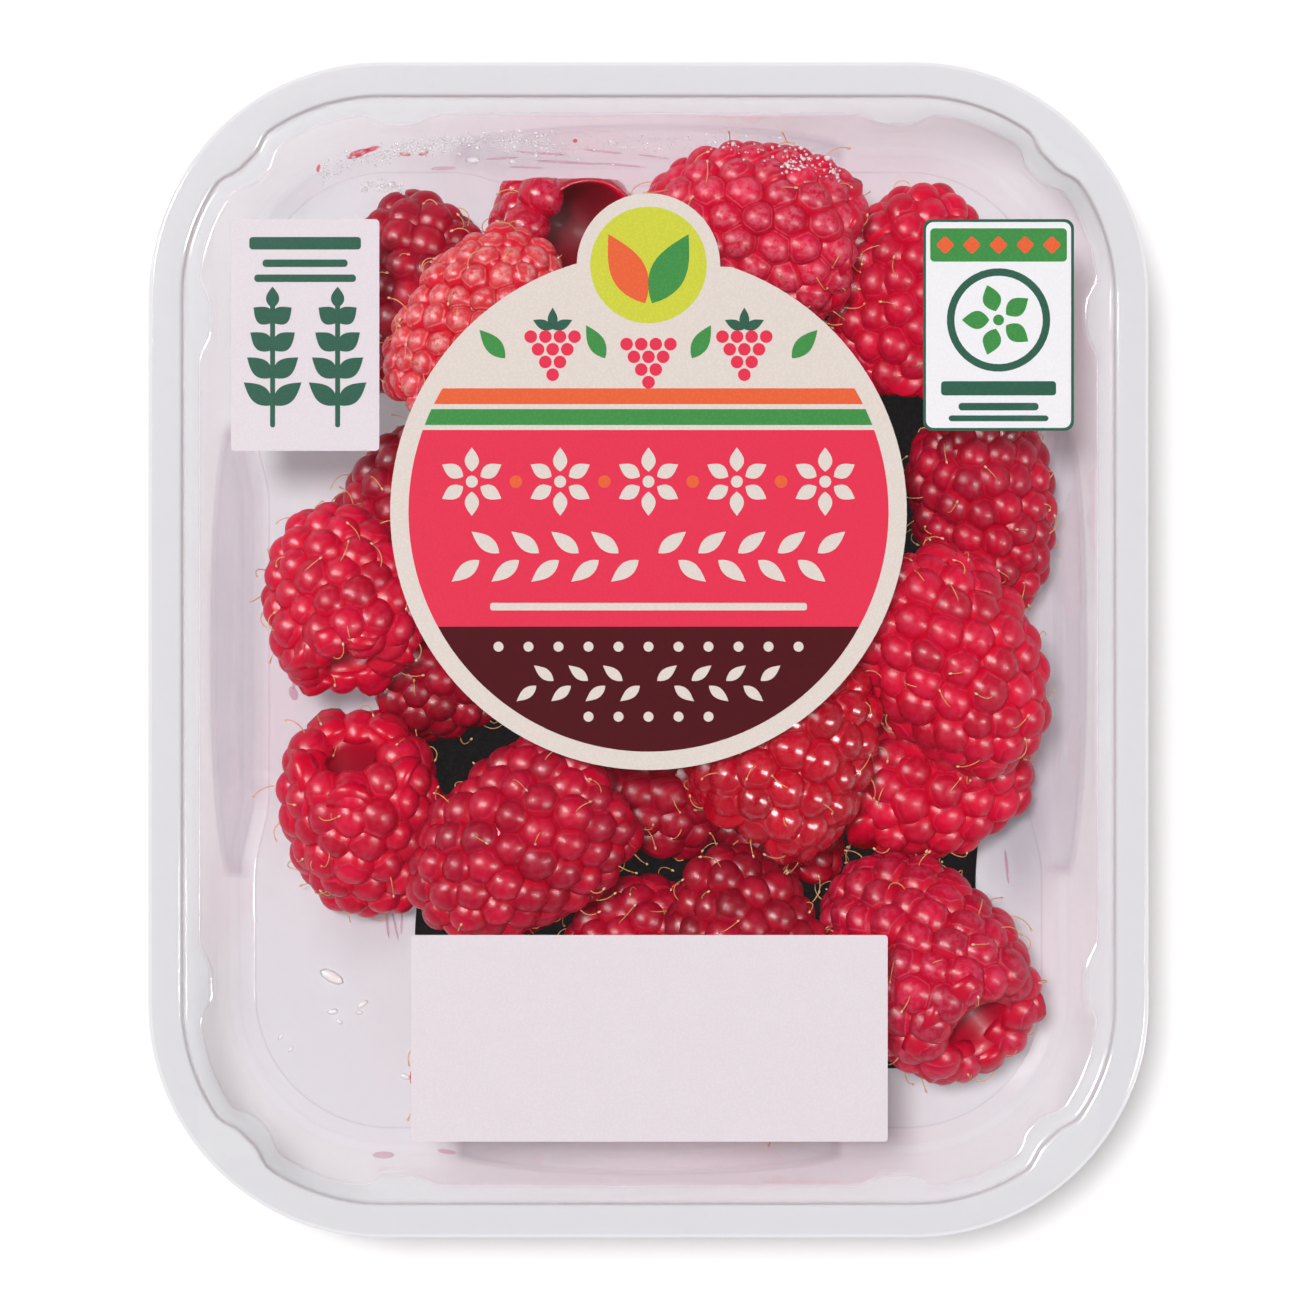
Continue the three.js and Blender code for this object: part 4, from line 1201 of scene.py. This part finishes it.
def fullness(share):
    """Radius of a raspberry at a share of its length, beside half its width."""
    rimwards = 1 - (1 - RIM_SHARE) * ((WIDEST_AT - share) / WIDEST_AT) ** 2
    tipwards = np.clip((share - WIDEST_AT) / (1 - WIDEST_AT), 0, 1)
    return np.where(share < WIDEST_AT, rimwards, np.sqrt(1 - tipwards ** TIP_POWER))


def smooth_path(points, rounds=3):
    """A path with its corners cut, and its ends kept."""
    for _ in range(rounds):
        early = points[:-1] * 0.75 + points[1:] * 0.25
        late = points[:-1] * 0.25 + points[1:] * 0.75
        between = np.stack([early, late], 1).reshape(-1, 2)
        points = np.vstack([points[:1], between, points[-1:]])
    return points


class Envelope:
    """The curve that the drupelets' tops touch, from inside the rim to the tip, turned about the x axis."""

    def __init__(self, length, width, rim):
        shares = 1 - (1 - np.linspace(0.1, 1, 30)) ** 1.5
        body = np.column_stack([shares, fullness(shares)])
        path = smooth_path(np.vstack([rim, body]))
        path = path * [length, width / 2] - [length / 2, 0]
        run = np.concatenate([[0], np.cumsum(np.hypot(*np.diff(path, axis=0).T))])
        self.run = np.linspace(0, run[-1], 240)
        self.x = np.interp(self.run, run, path[:, 0])
        self.r = np.interp(self.run, run, path[:, 1])
        way = np.column_stack([np.gradient(self.x), np.gradient(self.r)])
        way /= np.hypot(*way.T)[:, None]
        self.way = way
        area = np.cumsum(2 * math.pi * np.maximum(self.r, 0.05)) * (self.run[1] - self.run[0])
        self.area = area - area[0]

    def at(self, run, angle):
        """Places, outward normals and ways towards the tip at distances along the curve and angles."""
        x, r = np.interp(run, self.run, self.x), np.interp(run, self.run, self.r)
        way_x, way_r = np.interp(run, self.run, self.way[:, 0]), np.interp(run, self.run, self.way[:, 1])
        size = np.hypot(way_x, way_r)
        way_x, way_r = way_x / size, way_r / size
        spoke = np.column_stack([np.zeros_like(angle), np.cos(angle), np.sin(angle)])
        axis = np.array([1.0, 0, 0])
        places = x[:, None] * axis + r[:, None] * spoke
        normals = -way_r[:, None] * axis + way_x[:, None] * spoke
        ways = way_x[:, None] * axis + way_r[:, None] * spoke
        return places, normals, ways

    def spread_out(self, pitch, rounds=36):
        """Distances and angles of drupelets, in a golden-angle spiral that is then evened out."""
        count = round(self.area[-1] / (pitch ** 2 * math.sqrt(3) / 2))
        wanted = (np.arange(count) + 0.5) / count * self.area[-1]
        run = np.interp(wanted, self.area, self.run)
        angle = np.arange(count) * GOLDEN_ANGLE + rng.uniform(0, 2 * math.pi)
        run = run + rng.normal(0, 0.1 * pitch, count)
        end = self.run[-1]
        for _ in range(rounds):
            run = np.clip(run, 0.3 * pitch, end - 0.15 * pitch)
            places, _, ways = self.at(run, angle)
            apart = places[:, None] - places[None]
            size = np.linalg.norm(apart, axis=2) + np.eye(count) * 1e3
            push = np.maximum(1 - size / (1.12 * pitch), 0) / size
            step = (apart * push[:, :, None]).sum(1) * 0.35 * pitch
            spokes = np.column_stack([np.zeros(count), -np.sin(angle), np.cos(angle)])
            run = run + (step * ways).sum(1)
            angle = angle + (step * spokes).sum(1) / np.maximum(np.interp(run, self.run, self.r), 0.5 * pitch)
        return np.clip(run, 0.3 * pitch, end - 0.15 * pitch), angle


def dome_shape():
    """Rings of a drupelet from its pole down: how far out and how high, as shares."""
    steep = np.linspace(0, math.pi / 2, DOME_RINGS + 1)[1:]
    return np.sin(steep) ** (2 / DOME_POWER), np.cos(steep) ** (2 / DOME_POWER)


def dome_faces():
    """Faces of one drupelet: its pole is point 0, its base's middle is the last."""
    faces = []
    last = 1 + DOME_RINGS * DOME_SIDES
    for side in range(DOME_SIDES):
        nxt = (side + 1) % DOME_SIDES
        faces.append((0, 1 + side, 1 + nxt))
        for ring in range(DOME_RINGS - 1):
            high, low = 1 + ring * DOME_SIDES, 1 + (ring + 1) * DOME_SIDES
            faces.append((high + side, low + side, low + nxt, high + nxt))
        end = 1 + (DOME_RINGS - 1) * DOME_SIDES
        faces.append((last, end + nxt, end + side))
    return faces


def domes(tops, normals, ways, radii, rises):
    """Points of all the drupelets of a raspberry, in the order that dome_faces uses."""
    out, high = dome_shape()
    angles = np.arange(DOME_SIDES) * 2 * math.pi / DOME_SIDES
    around = np.cross(normals, ways)
    bases = tops - normals * rises[:, None]
    swell = 1 + rng.normal(0, 0.035, (len(tops), DOME_SIDES))
    rim = np.cos(angles)[None, :, None] * ways[:, None] * 1.06
    rim = rim + np.sin(angles)[None, :, None] * around[:, None]
    rim = rim * (radii[:, None] * swell)[:, :, None]
    rings = bases[:, None, None] + rim[:, None] * out[None, :, None, None]
    rings = rings + normals[:, None, None] * (rises[:, None] * high)[:, :, None, None]
    rings = rings.reshape(len(tops), -1, 3)
    return np.concatenate([tops[:, None], rings, bases[:, None]], axis=1)


def edge_gap(points, owner, tops, radii):
    """How far inside its own drupelet's border each point lies, in millimetres."""
    square = ((points[:, None] - tops[None]) ** 2).sum(2) - radii ** 2
    own = square[np.arange(len(points)), owner]
    between = np.linalg.norm(tops[owner][:, None] - tops[None], axis=2)
    gaps = (square - own[:, None]) / (2 * np.maximum(between, 1e-6))
    gaps[np.arange(len(points)), owner] = np.inf
    return gaps.min(1)


def core_of(envelope, length, width, rim):
    """The body under the drupelets, with the smooth hollow that the picked stalk leaves."""
    start = np.searchsorted(envelope.r[:120], rim[2][1] * width / 2)
    way = envelope.way[start:]
    x = envelope.x[start:] + way[:, 1] * CORE_DEPTH
    r = np.maximum(envelope.r[start:] - way[:, 0] * CORE_DEPTH, 0)
    picked = np.linspace(0, len(x) - 1, CORE_RINGS).round().astype(int)
    mouth = (rim[1][1] * width / 2) * 0.94
    deep = np.linspace(0, 1, HOLLOW_RINGS)
    hollow_x = (-0.5 + 0.6 * (1 - deep ** 1.3)) * length + deep * 1.3
    hollow_r = mouth * (0.06 + 0.94 * np.sqrt(deep))
    path = np.vstack([np.column_stack([hollow_x, hollow_r]), np.column_stack([x[picked], r[picked]])])
    angles = np.arange(CORE_SIDES) * 2 * math.pi / CORE_SIDES
    rings = [np.column_stack([np.full(CORE_SIDES, px), pr * np.cos(angles), pr * np.sin(angles)])
             for px, pr in path[:-1]]
    return skin_of(rings, [path[0, 0], 0, 0], [path[-1, 0], 0, 0])


def turned(yaw, tilt):
    """The matrix that turns the x axis to a berry's way."""
    turn, rise = math.radians(yaw), math.radians(tilt)
    about_z = np.array([[math.cos(turn), -math.sin(turn), 0], [math.sin(turn), math.cos(turn), 0], [0, 0, 1]])
    lift = np.array([[math.cos(rise), 0, -math.sin(rise)], [0, 1, 0], [math.sin(rise), 0, math.cos(rise)]])
    return about_z @ lift


def bent(points, curve, oval, length):
    """A raspberry is never quite round or straight."""
    x, y, z = points.T
    return np.column_stack([x, y * (1 + oval) + curve * (x / length) ** 2, z * (1 - oval)])


def berry_material(name, flesh, deep, crease_glow, pale, bloom_share, wet, roughness):
    """Raspberry skin: painted shade towards each drupelet's border, painted glow in its creases, a pale line
    of painted sheen inside the border, a mottled bloom, and painted shade deep in its hollow.
    """
    material, tree, shader = new_material(name)
    edge = attribute(tree, "edge")
    shade = attribute(tree, "shade")
    powder = noise(tree, 0.8, 3.5, 0.68)
    colour = blend_colours(tree, shade, flesh, deep)
    # Painted shade: darker towards each drupelet's border
    colour = blend_colours(tree, times(tree, spread(tree, edge, 1.0, 0.25), 0.5), colour, deep)
    # Painted glow in the creases and on the core, where light shines through the flesh
    colour = blend_colours(tree, spread(tree, edge, 0.22, 0.0), colour, crease_glow)
    dusty = times(tree, spread(tree, powder, 0.36, 0.64), spread(tree, edge, 0.25, 1.3))
    colour = blend_colours(tree, times(tree, dusty, bloom_share), colour, pale)
    # Painted sheen: a thin pale line inside each drupelet's border
    line = times(tree, spread(tree, edge, 0.04, 0.14), spread(tree, edge, 0.34, 0.18))
    line = times(tree, line, spread(tree, powder, 0.34, 0.54))
    colour = blend_colours(tree, times(tree, line, SHEEN_LINE_SHARE), colour, pale)
    # Painted shade deep in the hollow
    colour = blend_colours(tree, attribute(tree, "inside"), colour, HOLLOW_SHADE_COLOUR)
    rough = spread(tree, dusty, 0, 1, roughness, roughness + 0.16)
    rough = plus(tree, rough, times(tree, attribute(tree, "inside"), 0.5))
    set_inputs(tree, shader, {
        "Base Color": colour,
        "Roughness": rough,
        "Normal": bump(tree, powder, 0.3, 0.1),
        "Specular IOR Level": 0.27,
        "Subsurface Weight": 0.2,
        "Subsurface Radius": (1.0, 0.05, 0.1),
        "Subsurface Scale": 1.4 * MM,
        "Coat Weight": wet,
        "Coat Roughness": 0.12,
    })
    return material


def berry_materials():
    found = {}
    for looks, (flesh, deep, crease_glow, pale, *skin) in BERRY_LOOKS.items():
        colours = [linear(*colour) for colour in (flesh, deep, crease_glow, pale)]
        found[looks] = berry_material(f"raspberry_{looks}", *colours, *skin)
    found.update({looks: found["ripe"] for looks in ("folded", "opened", "plump")})
    return found


def drupelets_of(envelope, looks, turn):
    """Tops, normals, ways towards the tip, radii and rises of a raspberry's drupelets."""
    pitch = DRUPELET * DRUPELET_SHARE.get(looks, 1) * rng.uniform(*PITCH_SPREAD)
    run, angle = envelope.spread_out(pitch)
    tops, normals, ways = envelope.at(run, angle)
    count = len(tops)
    along = run / envelope.run[-1]
    radii = pitch * DOME_SHARE * (RIM_SIZE - TIP_LOSS * along) * (1 + rng.normal(0, UNEVEN_SIZE, count))
    tops = tops + normals * np.clip(rng.normal(0, UNEVEN_HEIGHT, count), *HEIGHT_LIMITS)[:, None]
    leaning = normals + ways * rng.normal(LEAN_TO_TIP, LEAN_SPREAD, count)[:, None]
    normals = leaning / np.linalg.norm(leaning, axis=1)[:, None]
    ways = ways - normals * (ways * normals).sum(1)[:, None]
    ways /= np.linalg.norm(ways, axis=1)[:, None]
    found = tops, normals, ways, radii, radii * DOME_RISE
    if looks == "torn":
        bare = (tops @ turn.T)[:, :2] @ BARE_WAY > BARE_FROM
        found = [part[~bare] for part in found]
    return found


def hollow_share(count, base):
    """How deep in its hollow each of a raspberry's points lies, where its core starts at point base."""
    share = np.zeros(count)
    depths = 1 - np.linspace(0, 1, HOLLOW_RINGS)
    share[base:base + 1 + HOLLOW_RINGS * CORE_SIDES] = [1, *np.repeat(depths ** 0.6, CORE_SIDES)]
    return share


def make_berry(number, berry, middle, materials):
    """One raspberry: its drupelets over its core. Returns the tops and normals of its drupelets."""
    _, _, _, yaw, tilt, length, width, looks = berry
    rim = np.array(WIDE_RIM_PATH if looks == "torn" else RIM_PATH)
    envelope = Envelope(length, width, rim)
    turn = turned(yaw, OPENED_TILT.get(looks, tilt))
    tops, normals, ways, radii, rises = drupelets_of(envelope, looks, turn)
    count = len(tops)
    each = domes(tops, normals, ways, radii, rises)
    per_dome = each.shape[1]
    dome_points = each.reshape(-1, 3)
    owner = np.repeat(np.arange(count), per_dome)
    edge = edge_gap(dome_points, owner, tops, radii)
    shade = np.repeat(rng.uniform(0, 1, count), per_dome)
    core_points, core_faces = core_of(envelope, length, width, rim)
    pattern = dome_faces()
    faces = [tuple(point + dome * per_dome for point in face) for dome in range(count) for face in pattern]
    base = len(dome_points)
    faces += [tuple(point + base for point in face) for face in core_faces]
    points = np.vstack([dome_points, core_points])
    curve, oval = rng.uniform(-MOST_CURVE, MOST_CURVE), rng.uniform(-MOST_OVAL, MOST_OVAL)
    placed = bent(points, curve, oval, length) @ turn.T + middle
    if looks == "torn":
        placed[:, 1] = np.minimum(placed[:, 1], TORN_EDGE_Y)
    attributes = {
        "edge": np.concatenate([edge, np.zeros(len(core_points))]),
        "shade": np.concatenate([shade, np.zeros(len(core_points))]),
        "inside": hollow_share(len(points), base),
    }
    name = f"raspberry_{number:02d}"
    points = pressed_inside(placed)
    add_piece(name, points, faces, materials[looks], "raspberry", ["raspberries"], attributes=attributes)
    return bent(tops, curve, oval, length) @ turn.T + middle, normals @ turn.T


# Hairs

HAIR_SHARE = 0.4
HAIR_LENGTH = 2.7
HAIR_LENGTH_SHARES = (0.6, 1.2)
HAIR_LEAN = (5, 50)
HAIR_CURL = (40, 150)
HAIR_SWAY = 0.15
HAIR_ROOT_DEPTH = 0.25
HAIR_RADIUS = 0.075
HAIR_TAPER = 0.3
HAIR_STEPS = 8
HAIR_SIDES = 5
KNOB_ALONG = np.array([-0.1, 0.06, 0.24, 0.36]) + 0.1
KNOB_RADII = 0.16 * np.array([0.6, 1, 0.85, 0.35])


def hair_rings(root, normal, sideways):
    """Rings of points along one hair that curls over in an arc, with a small knob at its end."""
    length = HAIR_LENGTH * rng.uniform(*HAIR_LENGTH_SHARES)
    shares = np.linspace(0, 1, HAIR_STEPS + 1)
    lean = math.radians(rng.uniform(*HAIR_LEAN)) + math.radians(rng.uniform(*HAIR_CURL)) * shares
    steps = (np.outer(np.cos(lean), normal) + np.outer(np.sin(lean), sideways)) * length / HAIR_STEPS
    cross = np.cross(normal, sideways)
    line = root - normal * HAIR_ROOT_DEPTH + np.cumsum(steps, axis=0)
    sway = np.sin(shares * math.pi) * rng.uniform(-HAIR_SWAY, HAIR_SWAY) * length
    line = line + np.outer(sway, cross)
    radii = HAIR_RADIUS * (1 - HAIR_TAPER * shares)
    tip = line[-1]
    way = tip - line[-2]
    way /= np.linalg.norm(way)
    line = np.vstack([line, tip + np.outer(KNOB_ALONG, way)])
    radii = np.concatenate([radii, KNOB_RADII])
    ways = np.gradient(line, axis=0)
    ways /= np.maximum(np.linalg.norm(ways, axis=1)[:, None], 1e-6)
    one = np.cross(ways, cross)
    one /= np.maximum(np.linalg.norm(one, axis=1)[:, None], 1e-6)
    two = np.cross(ways, one)
    angles = np.arange(HAIR_SIDES) * 2 * math.pi / HAIR_SIDES
    return [middle + radius * (np.outer(np.cos(angles), a) + np.outer(np.sin(angles), b))
            for middle, radius, a, b in zip(line, radii, one, two)]


def hair_material():
    """Golden hairs with paler knobs, some of them reddened by juice."""
    material, tree, shader = new_material("golden_hair")
    colour = blend_colours(tree, attribute(tree, "knob"), linear(232, 168, 100), linear(240, 206, 160))
    reddened = spread(tree, noise(tree, 3, 1), 0.45, 0.8, 0, 0.7)
    colour = blend_colours(tree, reddened, colour, linear(206, 92, 74))
    set_inputs(tree, shader, {"Base Color": colour, "Roughness": 0.45})
    return material


def make_hairs(tops, normals):
    points, faces, ends = [], [], []
    count = 0
    for top, normal in zip(tops, normals):
        if rng.uniform() > HAIR_SHARE:
            continue
        sideways = np.cross(normal, rng.normal(size=3))
        sideways /= np.linalg.norm(sideways)
        rings = hair_rings(top, normal, sideways)
        ring_points, ring_faces = skin_of(rings, rings[0].mean(0), rings[-1].mean(0))
        points.append(ring_points)
        faces += [[point + count for point in face[::-1]] for face in ring_faces]
        knob = np.zeros(len(ring_points))
        knob[-1 - len(KNOB_ALONG) * HAIR_SIDES:] = 1
        ends.append(knob)
        count += len(ring_points)
    points = pressed_inside(np.vstack(points), 0.04)
    attributes = {"knob": np.concatenate(ends)}
    add_piece("raspberry_hairs", points, faces, hair_material(), "raspberry", attributes=attributes)


def make_raspberries():
    materials = berry_materials()
    middles = settled()
    tops, normals = [], []
    for number, (berry, middle) in enumerate(zip(BERRIES, middles)):
        middle = np.array(middle) + [0, FURTHER_UNDER.get(number, 0), 0]
        berry_tops, berry_normals = make_berry(number, berry, middle, materials)
        tops.append(berry_tops)
        normals.append(berry_normals)
    make_hairs(np.vstack(tops), np.vstack(normals))


# Light, floor and camera

PHOTO_SIZE = 1296
PHOTO_PIXEL = 0.12
PHOTO_MIDDLE = (648.5, 650)
CAMERA_DISTANCE = 1100
SENSOR = 36
WORLD_STRENGTH = 0.27
ZENITH_STRENGTH = 0.035
ZENITH_FROM, ZENITH_TO = 0.78, 0.93
SUN_STRENGTH = 2.05
SUN_SPREAD = 7
SUN_TILT = (-4.6, -4.8, 0)
FLOOR_GLOW = 0.08

# Lamps: name, place, width, length, power, and whether it shows in gloss only
LAMPS = [
    ("left", (-0.8, 0.5, 0.9), 0.14, 0.7, 2.9, False),
    ("right", (0.85, -0.1, 0.8), 0.12, 0.6, 1.9, False),
    ("left_gloss", (-0.75, 0.35, 0.95), 0.34, 0.9, 31, True),
    ("right_gloss", (0.8, -0.25, 0.95), 0.26, 0.8, 18, True),
]

# The floor's half size, and how far it lies below the tray
FLOOR_REACH = 1.6
FLOOR_BELOW = 0.0002


def add_light(name, place, width, length, energy, mirrored):
    """A soft lamp that looks at the punnet, with no shadow: it only fills in, or only shows in gloss."""
    data = bpy.data.lights.new(name, "AREA")
    data.shape = "RECTANGLE"
    data.size = width
    data.size_y = length
    data.energy = energy
    data.use_shadow = False
    light = add_object(name, data)
    light.location = place
    towards = -light.location
    light.rotation_mode = "QUATERNION"
    light.rotation_quaternion = towards.to_track_quat("-Z", "Y")
    light.visible_glossy = mirrored
    light.visible_diffuse = not mirrored


def add_overhead():
    """The main light, nearly straight above: it throws a short soft shadow to the right and downwards."""
    data = bpy.data.lights.new("overhead", "SUN")
    data.energy = SUN_STRENGTH
    data.angle = math.radians(SUN_SPREAD)
    light = add_object("overhead", data)
    light.rotation_euler = [math.radians(angle) for angle in SUN_TILT]
    light.visible_glossy = False


def make_floor():
    mesh = bpy.data.meshes.new("floor")
    corners = [(FLOOR_REACH * x, FLOOR_REACH * y, 0) for x, y in ((-1, -1), (1, -1), (1, 1), (-1, 1))]
    mesh.from_pydata(corners, [], [(0, 1, 2, 3)])
    material, tree, shader = new_material("pale_floor")
    set_inputs(tree, shader, {
        "Base Color": (0.9, 0.9, 0.9, 1),
        "Roughness": 0.9,
        "Specular IOR Level": 0.1,
        "Emission Color": (1, 1, 1, 1),
        "Emission Strength": FLOOR_GLOW,
    })
    mesh.materials.append(material)
    floor = add_object("floor", mesh)
    floor.location.z = -FLOOR_BELOW


def make_world():
    """White all round, and dark straight above, where the camera stands in a studio."""
    world = bpy.data.worlds.new("soft_white")
    world.use_nodes = True
    tree = world.node_tree
    way = add_node(tree, "ShaderNodeTexCoord").outputs["Generated"]
    up = add_node(tree, "ShaderNodeSeparateXYZ", {0: way}).outputs["Z"]
    strength = spread(tree, up, ZENITH_FROM, ZENITH_TO, WORLD_STRENGTH, ZENITH_STRENGTH)
    set_inputs(tree, tree.nodes["Background"], {"Color": (1, 1, 1, 1), "Strength": strength})
    bpy.context.scene.world = world


def make_camera():
    data = bpy.data.cameras.new("camera")
    data.sensor_width = SENSOR
    data.lens = SENSOR * CAMERA_DISTANCE / (PHOTO_SIZE * PHOTO_PIXEL)
    data.clip_start, data.clip_end = 0.05, 20
    camera = add_object("camera", data)
    across = (PHOTO_SIZE / 2 - PHOTO_MIDDLE[0]) * PHOTO_PIXEL
    up = (PHOTO_MIDDLE[1] - PHOTO_SIZE / 2) * PHOTO_PIXEL
    camera.location = (across * MM, up * MM, (TRAY_HEIGHT + CAMERA_DISTANCE) * MM)
    bpy.context.scene.camera = camera


def make_stage():
    make_floor()
    make_world()
    add_overhead()
    for lamp in LAMPS:
        add_light(*lamp)
    bpy.context.scene.view_settings.view_transform = "Standard"
    cycles = bpy.context.scene.cycles
    cycles.transparent_max_bounces = 24
    cycles.max_bounces = 4
    cycles.diffuse_bounces = 2
    cycles.glossy_bounces = 2
    cycles.caustics_reflective = False
    cycles.caustics_refractive = False
    cycles.use_light_tree = False


make_camera()
make_stage()
make_tray()
make_film()
make_print()
make_wet_things()
make_pad()
make_raspberries()
